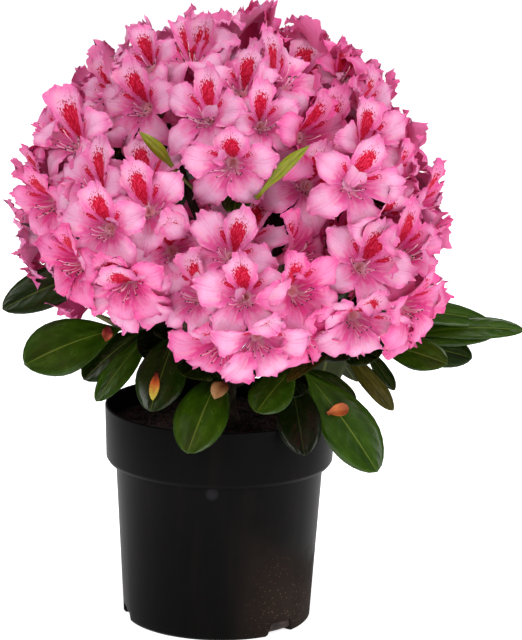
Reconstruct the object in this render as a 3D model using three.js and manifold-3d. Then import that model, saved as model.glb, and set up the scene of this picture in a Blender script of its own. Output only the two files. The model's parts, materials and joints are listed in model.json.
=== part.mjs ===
// A potted rhododendron in full bloom: a black nursery pot filled with compost, a short trunk,
// its boughs, and a dome of pink flower trusses over whorls of leathery leaves.
// Millimetres, +Z up, the front of the plant towards -Y. The origin is the centre of the pot's underside.
import * as THREE from 'three';
import { mergeVertices } from 'three/addons/utils/BufferGeometryUtils.js';
import Module from 'manifold-3d';

const wasm = await Module();
wasm.setup();

// Pot: a tapered tub with a deep collar round its mouth and drain notches in its foot
const POT_HEIGHT = 180;
const RIM_RADIUS = 95;
const RIM_BEVEL = 0.8;
const COLLAR_DEPTH = 47;
const COLLAR_FOOT_RADIUS = 93.5;
const COLLAR_FLARE_HEIGHT = 3;
const COLLAR_LIP = 2;
const BODY_TOP_RADIUS = 85.5;
const BASE_RADIUS = 77.5;
const BASE_CHAMFER = 2;
const POT_WALL = 1.8;
const POT_FLOOR = 2.5;
const POT_SIDES = 36;
const NOTCH_COUNT = 3;
const NOTCH_FIRST_BEARING = 44;
const NOTCH_HEIGHT = 11;
const NOTCH_TOP_WIDTH = 21;
const NOTCH_FOOT_WIDTH = 29;
const NOTCH_DEPTH = 14;

// Compost: fills the pot to a little under the rim, level round the trunk
const SOIL_CLEARANCE = 0.4;
const SOIL_LEVEL = 166;
const SOIL_EDGE_DROP = 4;
const SOIL_LEVEL_RADIUS = 32;

// Trunk and boughs
const CLEARANCE = 0.3;
const TRUNK_FOOT = [1, 3];
const TRUNK_TIP = [6, 0, 224];
const TRUNK_FOOT_RADIUS = 10.5;
const TRUNK_TIP_RADIUS = 8.5;
const ROOT_FLARE = 6;
const ROOT_FLARE_SHARE = 0.16;
const TRUNK_SIDES = 10;
const TRUNK_STEPS = 8;
const LEADER_RADIUS = 7.5;
const BOUGH_RADIUS = 5.2;
const BRANCH_RADIUS = 3.9;
const LIMB_TIP_RADIUS = 3.1;
const LIMB_BEND = 0.36;
const LIMB_LIFT = 0.55;
const LIMB_SIDES = 6;
const LIMB_STEPS = 5;

// Trusses: each is a ball of flowers on one stem, over a whorl of leaves
const CROWN_HEART = [6, 0, 215];
const CROWN_LIFT = 0.65;
const STEM_RADIUS = 2.9;
const STEM_TIP_RADIUS = 1.8;
const TRUSS_STEM = 38;
const TRUSS_CENTRE = 28;
const SHOOT_STEM = 20;
const SHOOT_RISE = 0.5;
const FLOWERS_PER_TRUSS = 7;
const TRUSS_SPREAD = 100;
const TRUSS_TURN = 47;
const GOLDEN_ANGLE = 137.508;

// Flower: a funnel with five blunt lobes, its lengths measured from the middle of the truss
const FLOWER_RADIUS = 43;
const FLOWER_FOOT = 2;
const FLOWER_CUP = 34;
const FLOWER_RIM = 52;
const LOBES = 5;
const COLUMNS_PER_LOBE = 2;
const NOTCH_SHARE = 0.76;
const NOTCH_FALL = 0.9;
const LOBE_RUFFLE = 3;
const FLOWER_UPRIGHT = 0.7;
const FLOWER_SIZES = [1, 0.92, 0.84, 0.76, 0.68];
const FLOWER_SEED = 1000;

// Leaf: a leathery ellipse on a short stalk, bowed down to its tip
const LEAF_LENGTH = 104;
const LEAF_HALF_WIDTH = 21;
const LEAF_HALF_THICKNESS = 0.8;
const PETIOLE_HALF_WIDTH = 1.7;
const LEAF_STATIONS = [0, 0.14, 0.42, 0.78, 1];
const LEAF_WIDTHS = [0, 0, 1, 0.86, 0];
const LEAF_DROOP = 0.2;
const LEAF_FACE_UP = 0.3;
const LEAF_LENGTH_RANGE = [0.86, 1.06];
const LEAF_SIZES = [1, 0.86, 0.72];
const WHORL_TURN = 65;
const WHORL_SPAN = [0.25, 0.95];
const TRUSS_WHORL = 11.4;
const TRUSS_LEAF_LEAN = [4, 18];
const SHOOT_LEAF_LEAN = [8, 72];
const LEAF_SEED = 2000;

// Trusses by the bearing of their middle (0 is the front, 90 the right), its distance from the pot's
// axis and its height, the limb that carries them and how far along that limb they branch off
const TRUSSES = [
  { name: 'top', bearing: 174, out: 28, up: 449, from: 'trunk', share: 1, leaves: 3 },
  { name: 'front_low', bearing: 12, out: 128, up: 302, from: 'trunk', share: 0.66, leaves: 8 },
  { name: 'front_left', bearing: -37, out: 132, up: 342, from: 'trunk', share: 0.42, leaves: 8 },
  { name: 'right_low', bearing: 58, out: 143, up: 303, from: 'trunk', share: 0.5, leaves: 8 },
  { name: 'back_low_right', bearing: 140, out: 141, up: 292, from: 'trunk', share: 0.56, leaves: 7 },
  { name: 'back_low_left', bearing: -145, out: 138, up: 292, from: 'trunk', share: 0.36, leaves: 7 },
  { name: 'left', bearing: -72, out: 124, up: 378, from: 'trunk', share: 0.62, leaves: 6 },
  { name: 'upper_left', bearing: -85, out: 60, up: 440, from: 'top', share: 0.42, leaves: 3 },
  { name: 'upper_right', bearing: 92, out: 90, up: 432, from: 'top', share: 0.5, leaves: 3 },
  { name: 'front_top', bearing: 16, out: 81, up: 425, from: 'top', share: 0.3, leaves: 5 },
  { name: 'back_right', bearing: 134, out: 126, up: 390, from: 'top', share: 0.36, leaves: 4 },
  { name: 'back_left', bearing: -135, out: 120, up: 392, from: 'top', share: 0.24, leaves: 4 },
  { name: 'right_front', bearing: 56, out: 124, up: 388, from: 'right_low', share: 0.42, leaves: 5 },
  { name: 'right', bearing: 95, out: 134, up: 346, from: 'right_low', share: 0.24, leaves: 7 },
  { name: 'left_low', bearing: -109, out: 124, up: 318, from: 'left', share: 0.3, leaves: 7 },
  { name: 'back', bearing: 176, out: 118, up: 352, from: 'back_low_right', share: 0.36, leaves: 6 },
];

// Leafy side shoots low in the crown, that carry no flowers
const SHOOTS = [
  { name: 'shoot_left', bearing: -78, out: 88, up: 250, from: 'left', share: 0.34, leaves: 9 },
  { name: 'shoot_front', bearing: -8, out: 58, up: 214, from: 'front_low', share: 0.3, leaves: 9 },
  { name: 'shoot_front_right', bearing: 50, out: 84, up: 228, from: 'right_low', share: 0.3, leaves: 9 },
  { name: 'shoot_right', bearing: 86, out: 136, up: 240, from: 'right_low', share: 0.5, leaves: 9 },
  { name: 'shoot_back_right', bearing: 146, out: 92, up: 240, from: 'back_low_right', share: 0.26, leaves: 9 },
  { name: 'shoot_back_left', bearing: -140, out: 92, up: 242, from: 'back_low_left', share: 0.32, leaves: 9 },
];

const UP = new THREE.Vector3(0, 0, 1);
const radians = THREE.MathUtils.degToRad;

// A point at a bearing round the pot's axis
function atBearing(bearing, out, up) {
  const angle = radians(bearing);
  return new THREE.Vector3(out * Math.sin(angle), -out * Math.cos(angle), up);
}

// Repeatable random numbers from 0 to 1
function seeded(seed) {
  let state = seed >>> 0;
  return () => {
    state = (state + 0x6d2b79f5) >>> 0;
    let mixed = Math.imul(state ^ (state >>> 15), state | 1);
    mixed ^= mixed + Math.imul(mixed ^ (mixed >>> 7), mixed | 61);
    return ((mixed ^ (mixed >>> 14)) >>> 0) / 4294967296;
  };
}

// The part of a vector that stands square to an axis, at unit length
function squareTo(vector, axis) {
  return vector.clone().addScaledVector(axis, -vector.dot(axis)).normalize();
}

// The unit way that leans by an angle from one way towards another, square to it
function leaningFrom(way, towards, angle) {
  return way.clone().multiplyScalar(Math.cos(angle)).addScaledVector(towards, Math.sin(angle));
}

// A closed geometry as a solid, with faces that have no area left out
function solidOf(geometry) {
  const bare = geometry.clone();
  bare.deleteAttribute('normal');
  bare.deleteAttribute('uv');
  const merged = mergeVertices(bare, 1e-3);
  const corners = merged.index.array;
  const faces = [];
  for (let i = 0; i < corners.length; i += 3) {
    const [a, b, c] = corners.subarray(i, i + 3);
    if (a !== b && b !== c && c !== a) faces.push(a, b, c);
  }
  return new wasm.Manifold(
    new wasm.Mesh({
      numProp: 3,
      vertProperties: merged.getAttribute('position').array,
      triVerts: new Uint32Array(faces),
    }),
  );
}

// The largest body of a solid: loose scraps are dropped and sealed hollows filled
function mainBody(solid) {
  const bodies = solid.decompose();
  return bodies.reduce((best, body) => (body.volume() > best.volume() ? body : best));
}

function geometryOf(solid) {
  const mesh = solid.getMesh();
  const geometry = new THREE.BufferGeometry();
  geometry.setAttribute('position', new THREE.BufferAttribute(mesh.vertProperties, 3));
  geometry.setIndex(new THREE.BufferAttribute(mesh.triVerts, 1));
  geometry.computeVertexNormals();
  return geometry;
}

// A tapering limb: a cylinder bent along a curve, with flat ends
function limbGeometry(curve, radiusAt, sides, steps) {
  const geometry = new THREE.CylinderGeometry(1, 1, 1, sides, steps);
  const frames = curve.computeFrenetFrames(steps);
  const place = geometry.getAttribute('position');
  for (let i = 0; i < place.count; i++) {
    const step = Math.round((place.getY(i) + 0.5) * steps);
    const radius = radiusAt(step / steps);
    const bent = curve
      .getPointAt(step / steps)
      .addScaledVector(frames.normals[step], place.getX(i) * radius)
      .addScaledVector(frames.binormals[step], -place.getZ(i) * radius);
    place.setXYZ(i, bent.x, bent.y, bent.z);
  }
  return geometry;
}

// The pot's outer and inner outlines run up its wall; the collar stands out from the body
function potOutline() {
  const collarFoot = POT_HEIGHT - COLLAR_DEPTH;
  const outer = [
    [BASE_RADIUS - BASE_CHAMFER, 0],
    [BASE_RADIUS, BASE_CHAMFER],
    [BODY_TOP_RADIUS, collarFoot - COLLAR_LIP],
    [COLLAR_FOOT_RADIUS - COLLAR_LIP, collarFoot],
    [COLLAR_FOOT_RADIUS, collarFoot + COLLAR_FLARE_HEIGHT],
    [RIM_RADIUS, POT_HEIGHT - RIM_BEVEL],
    [RIM_RADIUS - RIM_BEVEL, POT_HEIGHT],
  ];
  const inner = [
    [RIM_RADIUS - POT_WALL, POT_HEIGHT],
    [COLLAR_FOOT_RADIUS - POT_WALL, collarFoot + COLLAR_FLARE_HEIGHT + POT_WALL / 2],
    [BODY_TOP_RADIUS - POT_WALL, collarFoot],
    [BASE_RADIUS - POT_WALL, POT_FLOOR],
  ];
  return { outer, inner };
}

// Revolves an outline of radius and height pairs about the Z axis
function revolved(outline) {
  const points = outline.map(([radius, height]) => new THREE.Vector2(radius, height));
  return new THREE.LatheGeometry(points, POT_SIDES).rotateX(Math.PI / 2);
}

function potSolid() {
  const { outer, inner } = potOutline();
  let pot = solidOf(revolved([[0, 0], ...outer, ...inner, [0, POT_FLOOR]]));
  const notch = new THREE.Shape([
    new THREE.Vector2(-NOTCH_FOOT_WIDTH / 2, -1),
    new THREE.Vector2(NOTCH_FOOT_WIDTH / 2, -1),
    new THREE.Vector2(NOTCH_TOP_WIDTH / 2, NOTCH_HEIGHT),
    new THREE.Vector2(-NOTCH_TOP_WIDTH / 2, NOTCH_HEIGHT),
  ]);
  for (let i = 0; i < NOTCH_COUNT; i++) {
    const block = new THREE.ExtrudeGeometry(notch, { depth: 2 * NOTCH_DEPTH, bevelEnabled: false });
    block.rotateX(Math.PI / 2);
    block.translate(0, -(BASE_RADIUS - NOTCH_DEPTH), 0);
    block.rotateZ(radians(NOTCH_FIRST_BEARING + (360 / NOTCH_COUNT) * i));
    pot = pot.subtract(solidOf(block));
  }
  return pot;
}

// Compost follows the pot's inner wall, clear of it, up to its level top
function soilSolid() {
  const gap = SOIL_CLEARANCE;
  const [rim, collar, body, base] = potOutline().inner;
  const edge = SOIL_LEVEL - SOIL_EDGE_DROP;
  const edgeShare = (edge - collar[1]) / (rim[1] - collar[1]);
  const edgeRadius = THREE.MathUtils.lerp(collar[0], rim[0], edgeShare);
  return solidOf(
    revolved([
      [0, base[1] + gap],
      [base[0] - gap, base[1] + gap],
      [body[0] - gap, body[1] + gap],
      [collar[0] - gap, collar[1] + gap],
      [edgeRadius - gap, edge],
      [SOIL_LEVEL_RADIUS, SOIL_LEVEL],
      [0, SOIL_LEVEL],
    ]),
  );
}

function trunkLimb() {
  const foot = new THREE.Vector3(...TRUNK_FOOT, SOIL_LEVEL + CLEARANCE);
  const tip = new THREE.Vector3(...TRUNK_TIP);
  const rise = tip.z - foot.z;
  const curve = new THREE.CubicBezierCurve3(
    foot,
    foot.clone().addScaledVector(UP, rise / 3),
    tip.clone().addScaledVector(UP, -rise / 3),
    tip,
  );
  const radiusAt = (share) =>
    THREE.MathUtils.lerp(TRUNK_FOOT_RADIUS, TRUNK_TIP_RADIUS, share) +
    ROOT_FLARE * Math.exp(-share / ROOT_FLARE_SHARE);
  return { curve, radiusAt, sides: TRUNK_SIDES, steps: TRUNK_STEPS };
}

// The middle of a mass, the way it faces, and the point where its bough ends and its stem begins
function planMass(row, index, flowering) {
  const centre = atBearing(row.bearing, row.out, row.up);
  const fromHeart = centre.clone().sub(new THREE.Vector3(...CROWN_HEART));
  fromHeart.z *= CROWN_LIFT;
  const facing = flowering ? fromHeart.normalize() : atBearing(row.bearing, 1, SHOOT_RISE).normalize();
  const foot = centre.clone().addScaledVector(facing, flowering ? -TRUSS_CENTRE : 0);
  return { ...row, index, flowering, centre, facing, foot };
}

// A bough leaves its parent along its way to the mass and arrives in line with the mass's stem
function planBough(mass, parent) {
  const onTip = mass.share === 1;
  const start = parent.curve.getPointAt(mass.share);
  const along = parent.curve.getTangentAt(mass.share);
  if (onTip) start.addScaledVector(along, CLEARANCE);
  const outward = squareTo(mass.foot.clone().sub(start), along);
  const leave = onTip ? along : outward.addScaledVector(along, LIMB_LIFT).normalize();
  const handle = start.distanceTo(mass.foot) * LIMB_BEND;
  const curve = new THREE.CubicBezierCurve3(
    start,
    start.clone().addScaledVector(leave, handle),
    mass.foot.clone().addScaledVector(mass.facing, -handle),
    mass.foot,
  );
  const ownRadius = mass.from === 'trunk' ? BOUGH_RADIUS : BRANCH_RADIUS;
  const footRadius = onTip ? LEADER_RADIUS : ownRadius;
  const radiusAt = (share) => THREE.MathUtils.lerp(footRadius, LIMB_TIP_RADIUS, share);
  return { curve, radiusAt, sides: LIMB_SIDES, steps: LIMB_STEPS, parent: onTip ? null : parent };
}

// A bough as a solid, cut off clear of the limb that it grows from
function limbSolid(limb) {
  const whole = solidOf(limbGeometry(limb.curve, limb.radiusAt, limb.sides, limb.steps));
  if (!limb.parent) return whole;
  const { curve, radiusAt, sides, steps } = limb.parent;
  const spaced = (share) => radiusAt(share) + CLEARANCE / Math.cos(Math.PI / sides);
  return mainBody(whole.subtract(solidOf(limbGeometry(curve, spaced, sides, steps))));
}

// A flower about +Y: a funnel whose rim is cut into blunt, ruffled lobes
function flowerGeometry(size, random) {
  const columns = LOBES * COLUMNS_PER_LOBE;
  const profile = [
    [0, FLOWER_FOOT],
    [FLOWER_RADIUS * size, FLOWER_RIM * size],
    [0, FLOWER_CUP * size],
  ];
  const rimRow = 1;
  const points = profile.map(([radius, height]) => new THREE.Vector2(radius, height));
  const geometry = new THREE.LatheGeometry(points, columns);
  const place = geometry.getAttribute('position');
  const ruffles = Array.from({ length: columns }, () => (random() - 0.5) * LOBE_RUFFLE);
  for (let i = 0; i <= columns; i++) {
    const vertex = i * profile.length + rimRow;
    const column = i % columns;
    const share = column % COLUMNS_PER_LOBE === 0 ? NOTCH_SHARE : 1;
    const fall = (1 - share) * (FLOWER_RIM - FLOWER_CUP) * size * NOTCH_FALL;
    place.setXYZ(
      vertex,
      place.getX(vertex) * share,
      place.getY(vertex) - fall + ruffles[column] * share,
      place.getZ(vertex) * share,
    );
  }
  return geometry.rotateY(-Math.PI / LOBES);
}

// A direction square to the way a mass faces, from which turns round its stem are counted
function sideOf(mass) {
  const upright = Math.abs(mass.facing.z) > 0.99;
  return squareTo(upright ? new THREE.Vector3(1, 0, 0) : UP, mass.facing);
}

// The flowers' ways out of a truss wind up it by the golden angle, evenly over its outer side
function flowerWays(mass) {
  const side = sideOf(mass);
  const cap = 1 - Math.cos(radians(TRUSS_SPREAD));
  return Array.from({ length: FLOWERS_PER_TRUSS }, (_, k) => {
    const lean = Math.acos(1 - ((k + 0.5) / FLOWERS_PER_TRUSS) * cap);
    const turn = radians(GOLDEN_ANGLE * k + TRUSS_TURN * mass.index);
    const sideways = side.clone().applyAxisAngle(mass.facing, turn);
    return leaningFrom(mass.facing, sideways, lean);
  });
}

// True if a solid stays on its own side of the plane half-way to every other truss
function keepsToItsSpace(points, mass, trusses) {
  return trusses.every((other) => {
    if (other === mass) return true;
    const across = other.centre.clone().sub(mass.centre);
    const half = across.length() / 2;
    across.normalize();
    return points.every((point) => point.clone().sub(mass.centre).dot(across) < half - CLEARANCE);
  });
}

function pointsOf(geometry) {
  const place = geometry.getAttribute('position');
  return Array.from({ length: place.count }, (_, i) => new THREE.Vector3().fromBufferAttribute(place, i));
}

// One flower, as large as the truss's own space allows, or null if there is no room
function flowerSolid(mass, way, random, trusses) {
  const upper = squareTo(UP.clone().multiplyScalar(FLOWER_UPRIGHT).add(mass.facing), way);
  const across = way.clone().cross(upper);
  const turned = new THREE.Matrix4().makeBasis(across, way, upper).setPosition(mass.centre);
  const size = FLOWER_SIZES.find((one) =>
    keepsToItsSpace(pointsOf(flowerGeometry(one, seeded(0)).applyMatrix4(turned)), mass, trusses),
  );
  if (!size) return null;
  return solidOf(flowerGeometry(size, random).applyMatrix4(turned));
}

// A leaf grows from a root along a way, bowing down, with its upper face towards a given side
function leafGeometry(root, way, face, length) {
  const steps = LEAF_STATIONS.length - 1;
  const geometry = new THREE.SphereGeometry(1, 4, steps);
  const place = geometry.getAttribute('position');
  const widest = (LEAF_HALF_WIDTH * length) / LEAF_LENGTH;
  for (let i = 0; i < place.count; i++) {
    const polar = Math.acos(THREE.MathUtils.clamp(place.getY(i), -1, 1));
    const ring = steps - Math.round((polar / Math.PI) * steps);
    const share = LEAF_STATIONS[ring];
    const girth = Math.hypot(place.getX(i), place.getZ(i)) || 1;
    const open = ring > 0 && ring < steps ? 1 / girth : 0;
    const width = THREE.MathUtils.lerp(PETIOLE_HALF_WIDTH, widest, LEAF_WIDTHS[ring]);
    const along = way.clone().addScaledVector(UP, -2 * LEAF_DROOP * share).normalize();
    const normal = squareTo(face, along);
    const lateral = along.clone().cross(normal);
    const point = root
      .clone()
      .addScaledVector(way, length * share)
      .addScaledVector(UP, -length * LEAF_DROOP * share * share)
      .addScaledVector(lateral, place.getX(i) * open * width)
      .addScaledVector(normal, place.getZ(i) * open * LEAF_HALF_THICKNESS);
    place.setXYZ(i, point.x, point.y, point.z);
  }
  return geometry;
}

// The whorl of leaf places round a mass's stem
function leafPlaces(mass, random) {
  const { lerp } = THREE.MathUtils;
  const side = sideOf(mass);
  const stem = mass.flowering ? TRUSS_WHORL : SHOOT_STEM;
  return Array.from({ length: mass.leaves }, (_, k) => {
    const rank = k / mass.leaves;
    const turn = radians(GOLDEN_ANGLE * k + WHORL_TURN * mass.index);
    const lean = mass.flowering ? lerp(...TRUSS_LEAF_LEAN, random()) : lerp(...SHOOT_LEAF_LEAN, rank);
    const sideways = side.clone().applyAxisAngle(mass.facing, turn);
    return {
      root: mass.foot.clone().addScaledVector(mass.facing, stem * lerp(...WHORL_SPAN, rank)),
      way: leaningFrom(sideways, mass.facing, radians(lean)),
      face: mass.facing.clone().addScaledVector(UP, LEAF_FACE_UP),
      length: LEAF_LENGTH * lerp(...LEAF_LENGTH_RANGE, random()),
    };
  });
}

// True if a piece is clear of every solid of the other masses, the limbs, the pot and the compost
function isClear(piece, owner, grown) {
  const box = piece.boundingBox();
  return grown.every((other) => {
    if (other.owner === owner) return true;
    const apart = [0, 1, 2].some(
      (axis) =>
        box.min[axis] > other.box.max[axis] + CLEARANCE || other.box.min[axis] > box.max[axis] + CLEARANCE,
    );
    return apart || piece.minGap(other.solid, 2 * CLEARANCE) > CLEARANCE;
  });
}

function material(colour, roughness) {
  return new THREE.MeshStandardMaterial({ color: colour, roughness, metalness: 0 });
}

const MATERIALS = {
  pot: material(0x17171a, 0.45),
  soil: material(0x35211a, 0.95),
  bark: material(0x6b5440, 0.85),
  bloom: material(0xee8cc0, 0.6),
  leaf: material(0x2c4a1c, 0.35),
};

const plant = new THREE.Group();

function addNode(name, solid, finish) {
  const mesh = new THREE.Mesh(geometryOf(solid), MATERIALS[finish]);
  mesh.name = name;
  plant.add(mesh);
}

const grown = [];

function keep(owner, solid) {
  grown.push({ owner, solid, box: solid.boundingBox() });
}

const pot = potSolid();
const soil = soilSolid();
addNode('pot', pot, 'pot');
addNode('compost', soil, 'soil');
keep('pot', pot);
keep('compost', soil);

const trusses = TRUSSES.map((row, index) => planMass(row, index, true));
const shoots = SHOOTS.map((row, index) => planMass(row, TRUSSES.length + index, false));
const masses = [...trusses, ...shoots];

const limbs = { trunk: trunkLimb() };
for (const mass of masses) limbs[mass.name] = planBough(mass, limbs[mass.from]);
for (const [name, limb] of Object.entries(limbs)) {
  const solid = limbSolid(limb);
  const nodeName = name === 'trunk' ? 'trunk' : `bough_${name}`;
  addNode(nodeName, solid, 'bark');
  keep(nodeName, solid);
}

// Stems and flowers come first, each truss in its own space, and the leaves then fill what is left
const pieces = new Map();
for (const mass of masses) {
  const from = mass.foot.clone().addScaledVector(mass.facing, CLEARANCE);
  const to = mass.foot.clone().addScaledVector(mass.facing, mass.flowering ? TRUSS_STEM : SHOOT_STEM);
  const taper = (share) => THREE.MathUtils.lerp(STEM_RADIUS, STEM_TIP_RADIUS, share);
  const stem = solidOf(limbGeometry(new THREE.LineCurve3(from, to), taper, LIMB_SIDES, 1));
  keep(mass.name, stem);
  pieces.set(mass, [stem]);
}
for (const mass of trusses) {
  const random = seeded(FLOWER_SEED + mass.index);
  for (const way of flowerWays(mass)) {
    const flower = flowerSolid(mass, way, random, trusses);
    if (!flower || !isClear(flower, mass.name, grown)) continue;
    keep(mass.name, flower);
    pieces.get(mass).push(flower);
  }
}
for (const mass of masses) {
  const random = seeded(LEAF_SEED + mass.index);
  for (const { root, way, face, length } of leafPlaces(mass, random)) {
    for (const size of LEAF_SIZES) {
      const leaf = solidOf(leafGeometry(root, way, face, length * size));
      if (!isClear(leaf, mass.name, grown)) continue;
      keep(mass.name, leaf);
      pieces.get(mass).push(leaf);
      break;
    }
  }
}
for (const [mass, parts] of pieces) {
  const joined = mainBody(wasm.Manifold.union(parts));
  addNode(mass.flowering ? `truss_${mass.name}` : mass.name, joined, mass.flowering ? 'bloom' : 'leaf');
}

export default plant;
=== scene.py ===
"""A potted rhododendron in full bloom: flowers, leaves, bark and pot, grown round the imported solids."""

import json
import math

import bmesh
import bpy
import numpy as np
from mathutils import Matrix, Vector, noise

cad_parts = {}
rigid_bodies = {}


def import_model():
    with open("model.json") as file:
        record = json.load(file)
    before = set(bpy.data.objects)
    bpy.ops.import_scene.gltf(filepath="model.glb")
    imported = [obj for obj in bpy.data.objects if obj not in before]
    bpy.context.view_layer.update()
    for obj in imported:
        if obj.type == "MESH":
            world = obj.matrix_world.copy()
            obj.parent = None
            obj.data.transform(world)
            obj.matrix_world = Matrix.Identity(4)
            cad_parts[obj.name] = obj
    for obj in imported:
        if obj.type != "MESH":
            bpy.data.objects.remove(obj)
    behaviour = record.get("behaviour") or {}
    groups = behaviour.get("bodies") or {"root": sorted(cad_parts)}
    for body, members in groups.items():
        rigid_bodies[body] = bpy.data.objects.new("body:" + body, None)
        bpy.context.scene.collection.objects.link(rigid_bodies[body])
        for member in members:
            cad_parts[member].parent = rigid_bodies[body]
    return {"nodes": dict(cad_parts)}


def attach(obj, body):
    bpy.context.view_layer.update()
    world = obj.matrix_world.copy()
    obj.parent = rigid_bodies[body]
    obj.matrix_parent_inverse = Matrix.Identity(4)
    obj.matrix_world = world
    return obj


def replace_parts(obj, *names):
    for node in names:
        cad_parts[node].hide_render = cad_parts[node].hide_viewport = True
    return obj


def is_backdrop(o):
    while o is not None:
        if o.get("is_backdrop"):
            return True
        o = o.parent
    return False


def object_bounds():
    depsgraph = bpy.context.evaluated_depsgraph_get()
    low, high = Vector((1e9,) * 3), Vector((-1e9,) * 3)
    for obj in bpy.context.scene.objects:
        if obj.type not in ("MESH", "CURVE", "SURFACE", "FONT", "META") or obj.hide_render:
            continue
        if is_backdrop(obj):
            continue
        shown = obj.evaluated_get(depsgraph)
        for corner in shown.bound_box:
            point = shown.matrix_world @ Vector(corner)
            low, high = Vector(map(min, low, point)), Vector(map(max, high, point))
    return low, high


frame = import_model()
solids_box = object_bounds()

# Units: sizes in millimetres, angles in degrees, shares from 0 to 1. The scene itself is in metres
MM = 0.001
UP = np.array([0.0, 0.0, 1.0])
LEVEL = np.array([1.0, 0.0, 0.0])

# The upright part of a way from which it counts as steep, or as nearly upright
STEEP = 0.85
NEARLY_UPRIGHT = 0.99

# Body that every piece rides on, and the map that follows the surfaces of petals, leaves and stalks
ROOT = "root"
BAKE_MAP = "OFBake"
BAKE_MAP_MIDDLE = (0.5, 0.5)

# Pot
POT_HEIGHT = 180
RIM_RADIUS = 95
RIM_BEVEL = 0.8
COLLAR_DEPTH = 47
COLLAR_FOOT_RADIUS = 93.5
COLLAR_FLARE_HEIGHT = 3
COLLAR_LIP = 2
BODY_TOP_RADIUS = 85.5
BASE_RADIUS = 77.5
BASE_CHAMFER = 2
POT_WALL = 1.8
POT_FLOOR = 2.5
FLOOR_FILLET = 2
POT_STEPS = 120
POT_EDGE_ROUND = 0.45
POT_EDGE_SEGMENTS = 2
POT_EDGE_ANGLE = 28
WELD = 0.01
NOTCH_COUNT = 3
NOTCH_FIRST_BEARING = 44
NOTCH_HEIGHT = 11
NOTCH_HALF_STEPS = 3
NOTCH_TOP_HALF_ANGLE = 7.8
NOTCH_FOOT_HALF_ANGLE = 10.8
NOTCH_DEPTH = 14
NOTCH_CHEEK_SLACK = 0.01

# Corners of the pot's wall, as radius and height
COLLAR_FOOT = POT_HEIGHT - COLLAR_DEPTH
BODY_FOOT = (BASE_RADIUS, BASE_CHAMFER)
BODY_TOP = (BODY_TOP_RADIUS, COLLAR_FOOT - COLLAR_LIP)
INNER_RIM = (RIM_RADIUS - POT_WALL, POT_HEIGHT)
INNER_COLLAR = (COLLAR_FOOT_RADIUS - POT_WALL, COLLAR_FOOT + COLLAR_FLARE_HEIGHT + POT_WALL / 2)
INNER_BODY = (BODY_TOP_RADIUS - POT_WALL, COLLAR_FOOT)
INNER_FOOT = (BASE_RADIUS - POT_WALL, POT_FLOOR + FLOOR_FILLET)

# Compost
SOIL_CLEARANCE = 0.4
SOIL_LEVEL = 166
SOIL_EDGE_DROP = 4
SOIL_LEVEL_RADIUS = 32
SOIL_RINGS = 22
SOIL_STEPS = 96
SOIL_MARGIN = 1
SOIL_LUMP = 2.6
SOIL_LUMP_CREST = 0.35
SOIL_LUMP_GRAIN = 90
SOIL_LUMP_FRACTAL = (0.7, 2.0, 4)
CRUMBS = 1500
CRUMB_SIZES = (0.7, 2.6)
CRUMB_STRETCH = (0.6, 1.3)
CRUMB_SCATTER = 0.22
CRUMB_LIFT = 0.4
CRUMB_EDGE_GAP = 3
CRUMB_AREA = (0.03, 1)
CRUMB_SEED = 31

# Trunk and boughs
CLEARANCE = 0.3
TRUNK_FOOT = (1, 3)
TRUNK_TIP = (6, 0, 224)
TRUNK_FOOT_RADIUS = 10.5
TRUNK_TIP_RADIUS = 8.5
ROOT_FLARE = 6
ROOT_FLARE_SHARE = 0.16
LEADER_RADIUS = 7.5
BOUGH_RADIUS = 5.2
BRANCH_RADIUS = 3.9
LIMB_TIP_RADIUS = 3.1
LIMB_BEND = 0.36
LIMB_LIFT = 0.55
LIMB_SIDES = 14
LIMB_STEPS = 26
LIMB_SAMPLES = 201
LIMB_LOOK = 0.004
BARK_RELIEF = 0.55
BARK_GRAIN = (420, 420, 160)
CROWN_HEART = (6, 0, 215)
CROWN_LIFT = 0.65

# Trusses and shoots
STEM_RADIUS = 2.9
STEM_TIP_RADIUS = 1.8
STEM_SIDES = 9
TRUSS_STEM = 38
TRUSS_CENTRE = 28
SHOOT_STEM = 20
SHOOT_RISE = 0.5
GOLDEN_ANGLE = 137.508
TRUSS_SPREAD = 104
TRUSS_SINK = 8
TRUSS_TURN = 125
FLOWERS_PER_TRUSS = 9
FLOWER_UPRIGHT = 1.4
FLOWER_OUTWARD = 1.0
FLOWER_OUTWARD_LIFT = 0.1
FLOWER_ROLL = 14
FLOWER_SWAY = 0.2
FLOWER_SIZES = (1.0, 0.94, 0.88, 0.82, 0.76, 0.7, 0.64)
FLOWER_SPILL = 30
DOME_HEART = (4, 0, 318)
DOME_REACH = (184, 192, 198)
DOME_SQUARENESS = 3

# name: bearing, distance out, height, limb it grows from, share along that limb, leaves
TRUSSES = {
    "top": (174, 28, 449, "trunk", 1, 3),
    "front_low": (12, 128, 302, "trunk", 0.66, 8),
    "front_left": (-37, 132, 342, "trunk", 0.42, 8),
    "right_low": (58, 143, 303, "trunk", 0.5, 8),
    "back_low_right": (140, 141, 292, "trunk", 0.56, 7),
    "back_low_left": (-145, 138, 292, "trunk", 0.36, 7),
    "left": (-72, 124, 378, "trunk", 0.62, 6),
    "upper_left": (-85, 60, 440, "top", 0.42, 3),
    "upper_right": (92, 90, 432, "top", 0.5, 3),
    "front_top": (16, 81, 425, "top", 0.3, 5),
    "back_right": (134, 126, 390, "top", 0.36, 4),
    "back_left": (-135, 120, 392, "top", 0.24, 4),
    "right_front": (56, 124, 388, "right_low", 0.42, 5),
    "right": (95, 134, 346, "right_low", 0.24, 7),
    "left_low": (-109, 124, 318, "left", 0.3, 7),
    "back": (176, 118, 352, "back_low_right", 0.36, 6),
}
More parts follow.
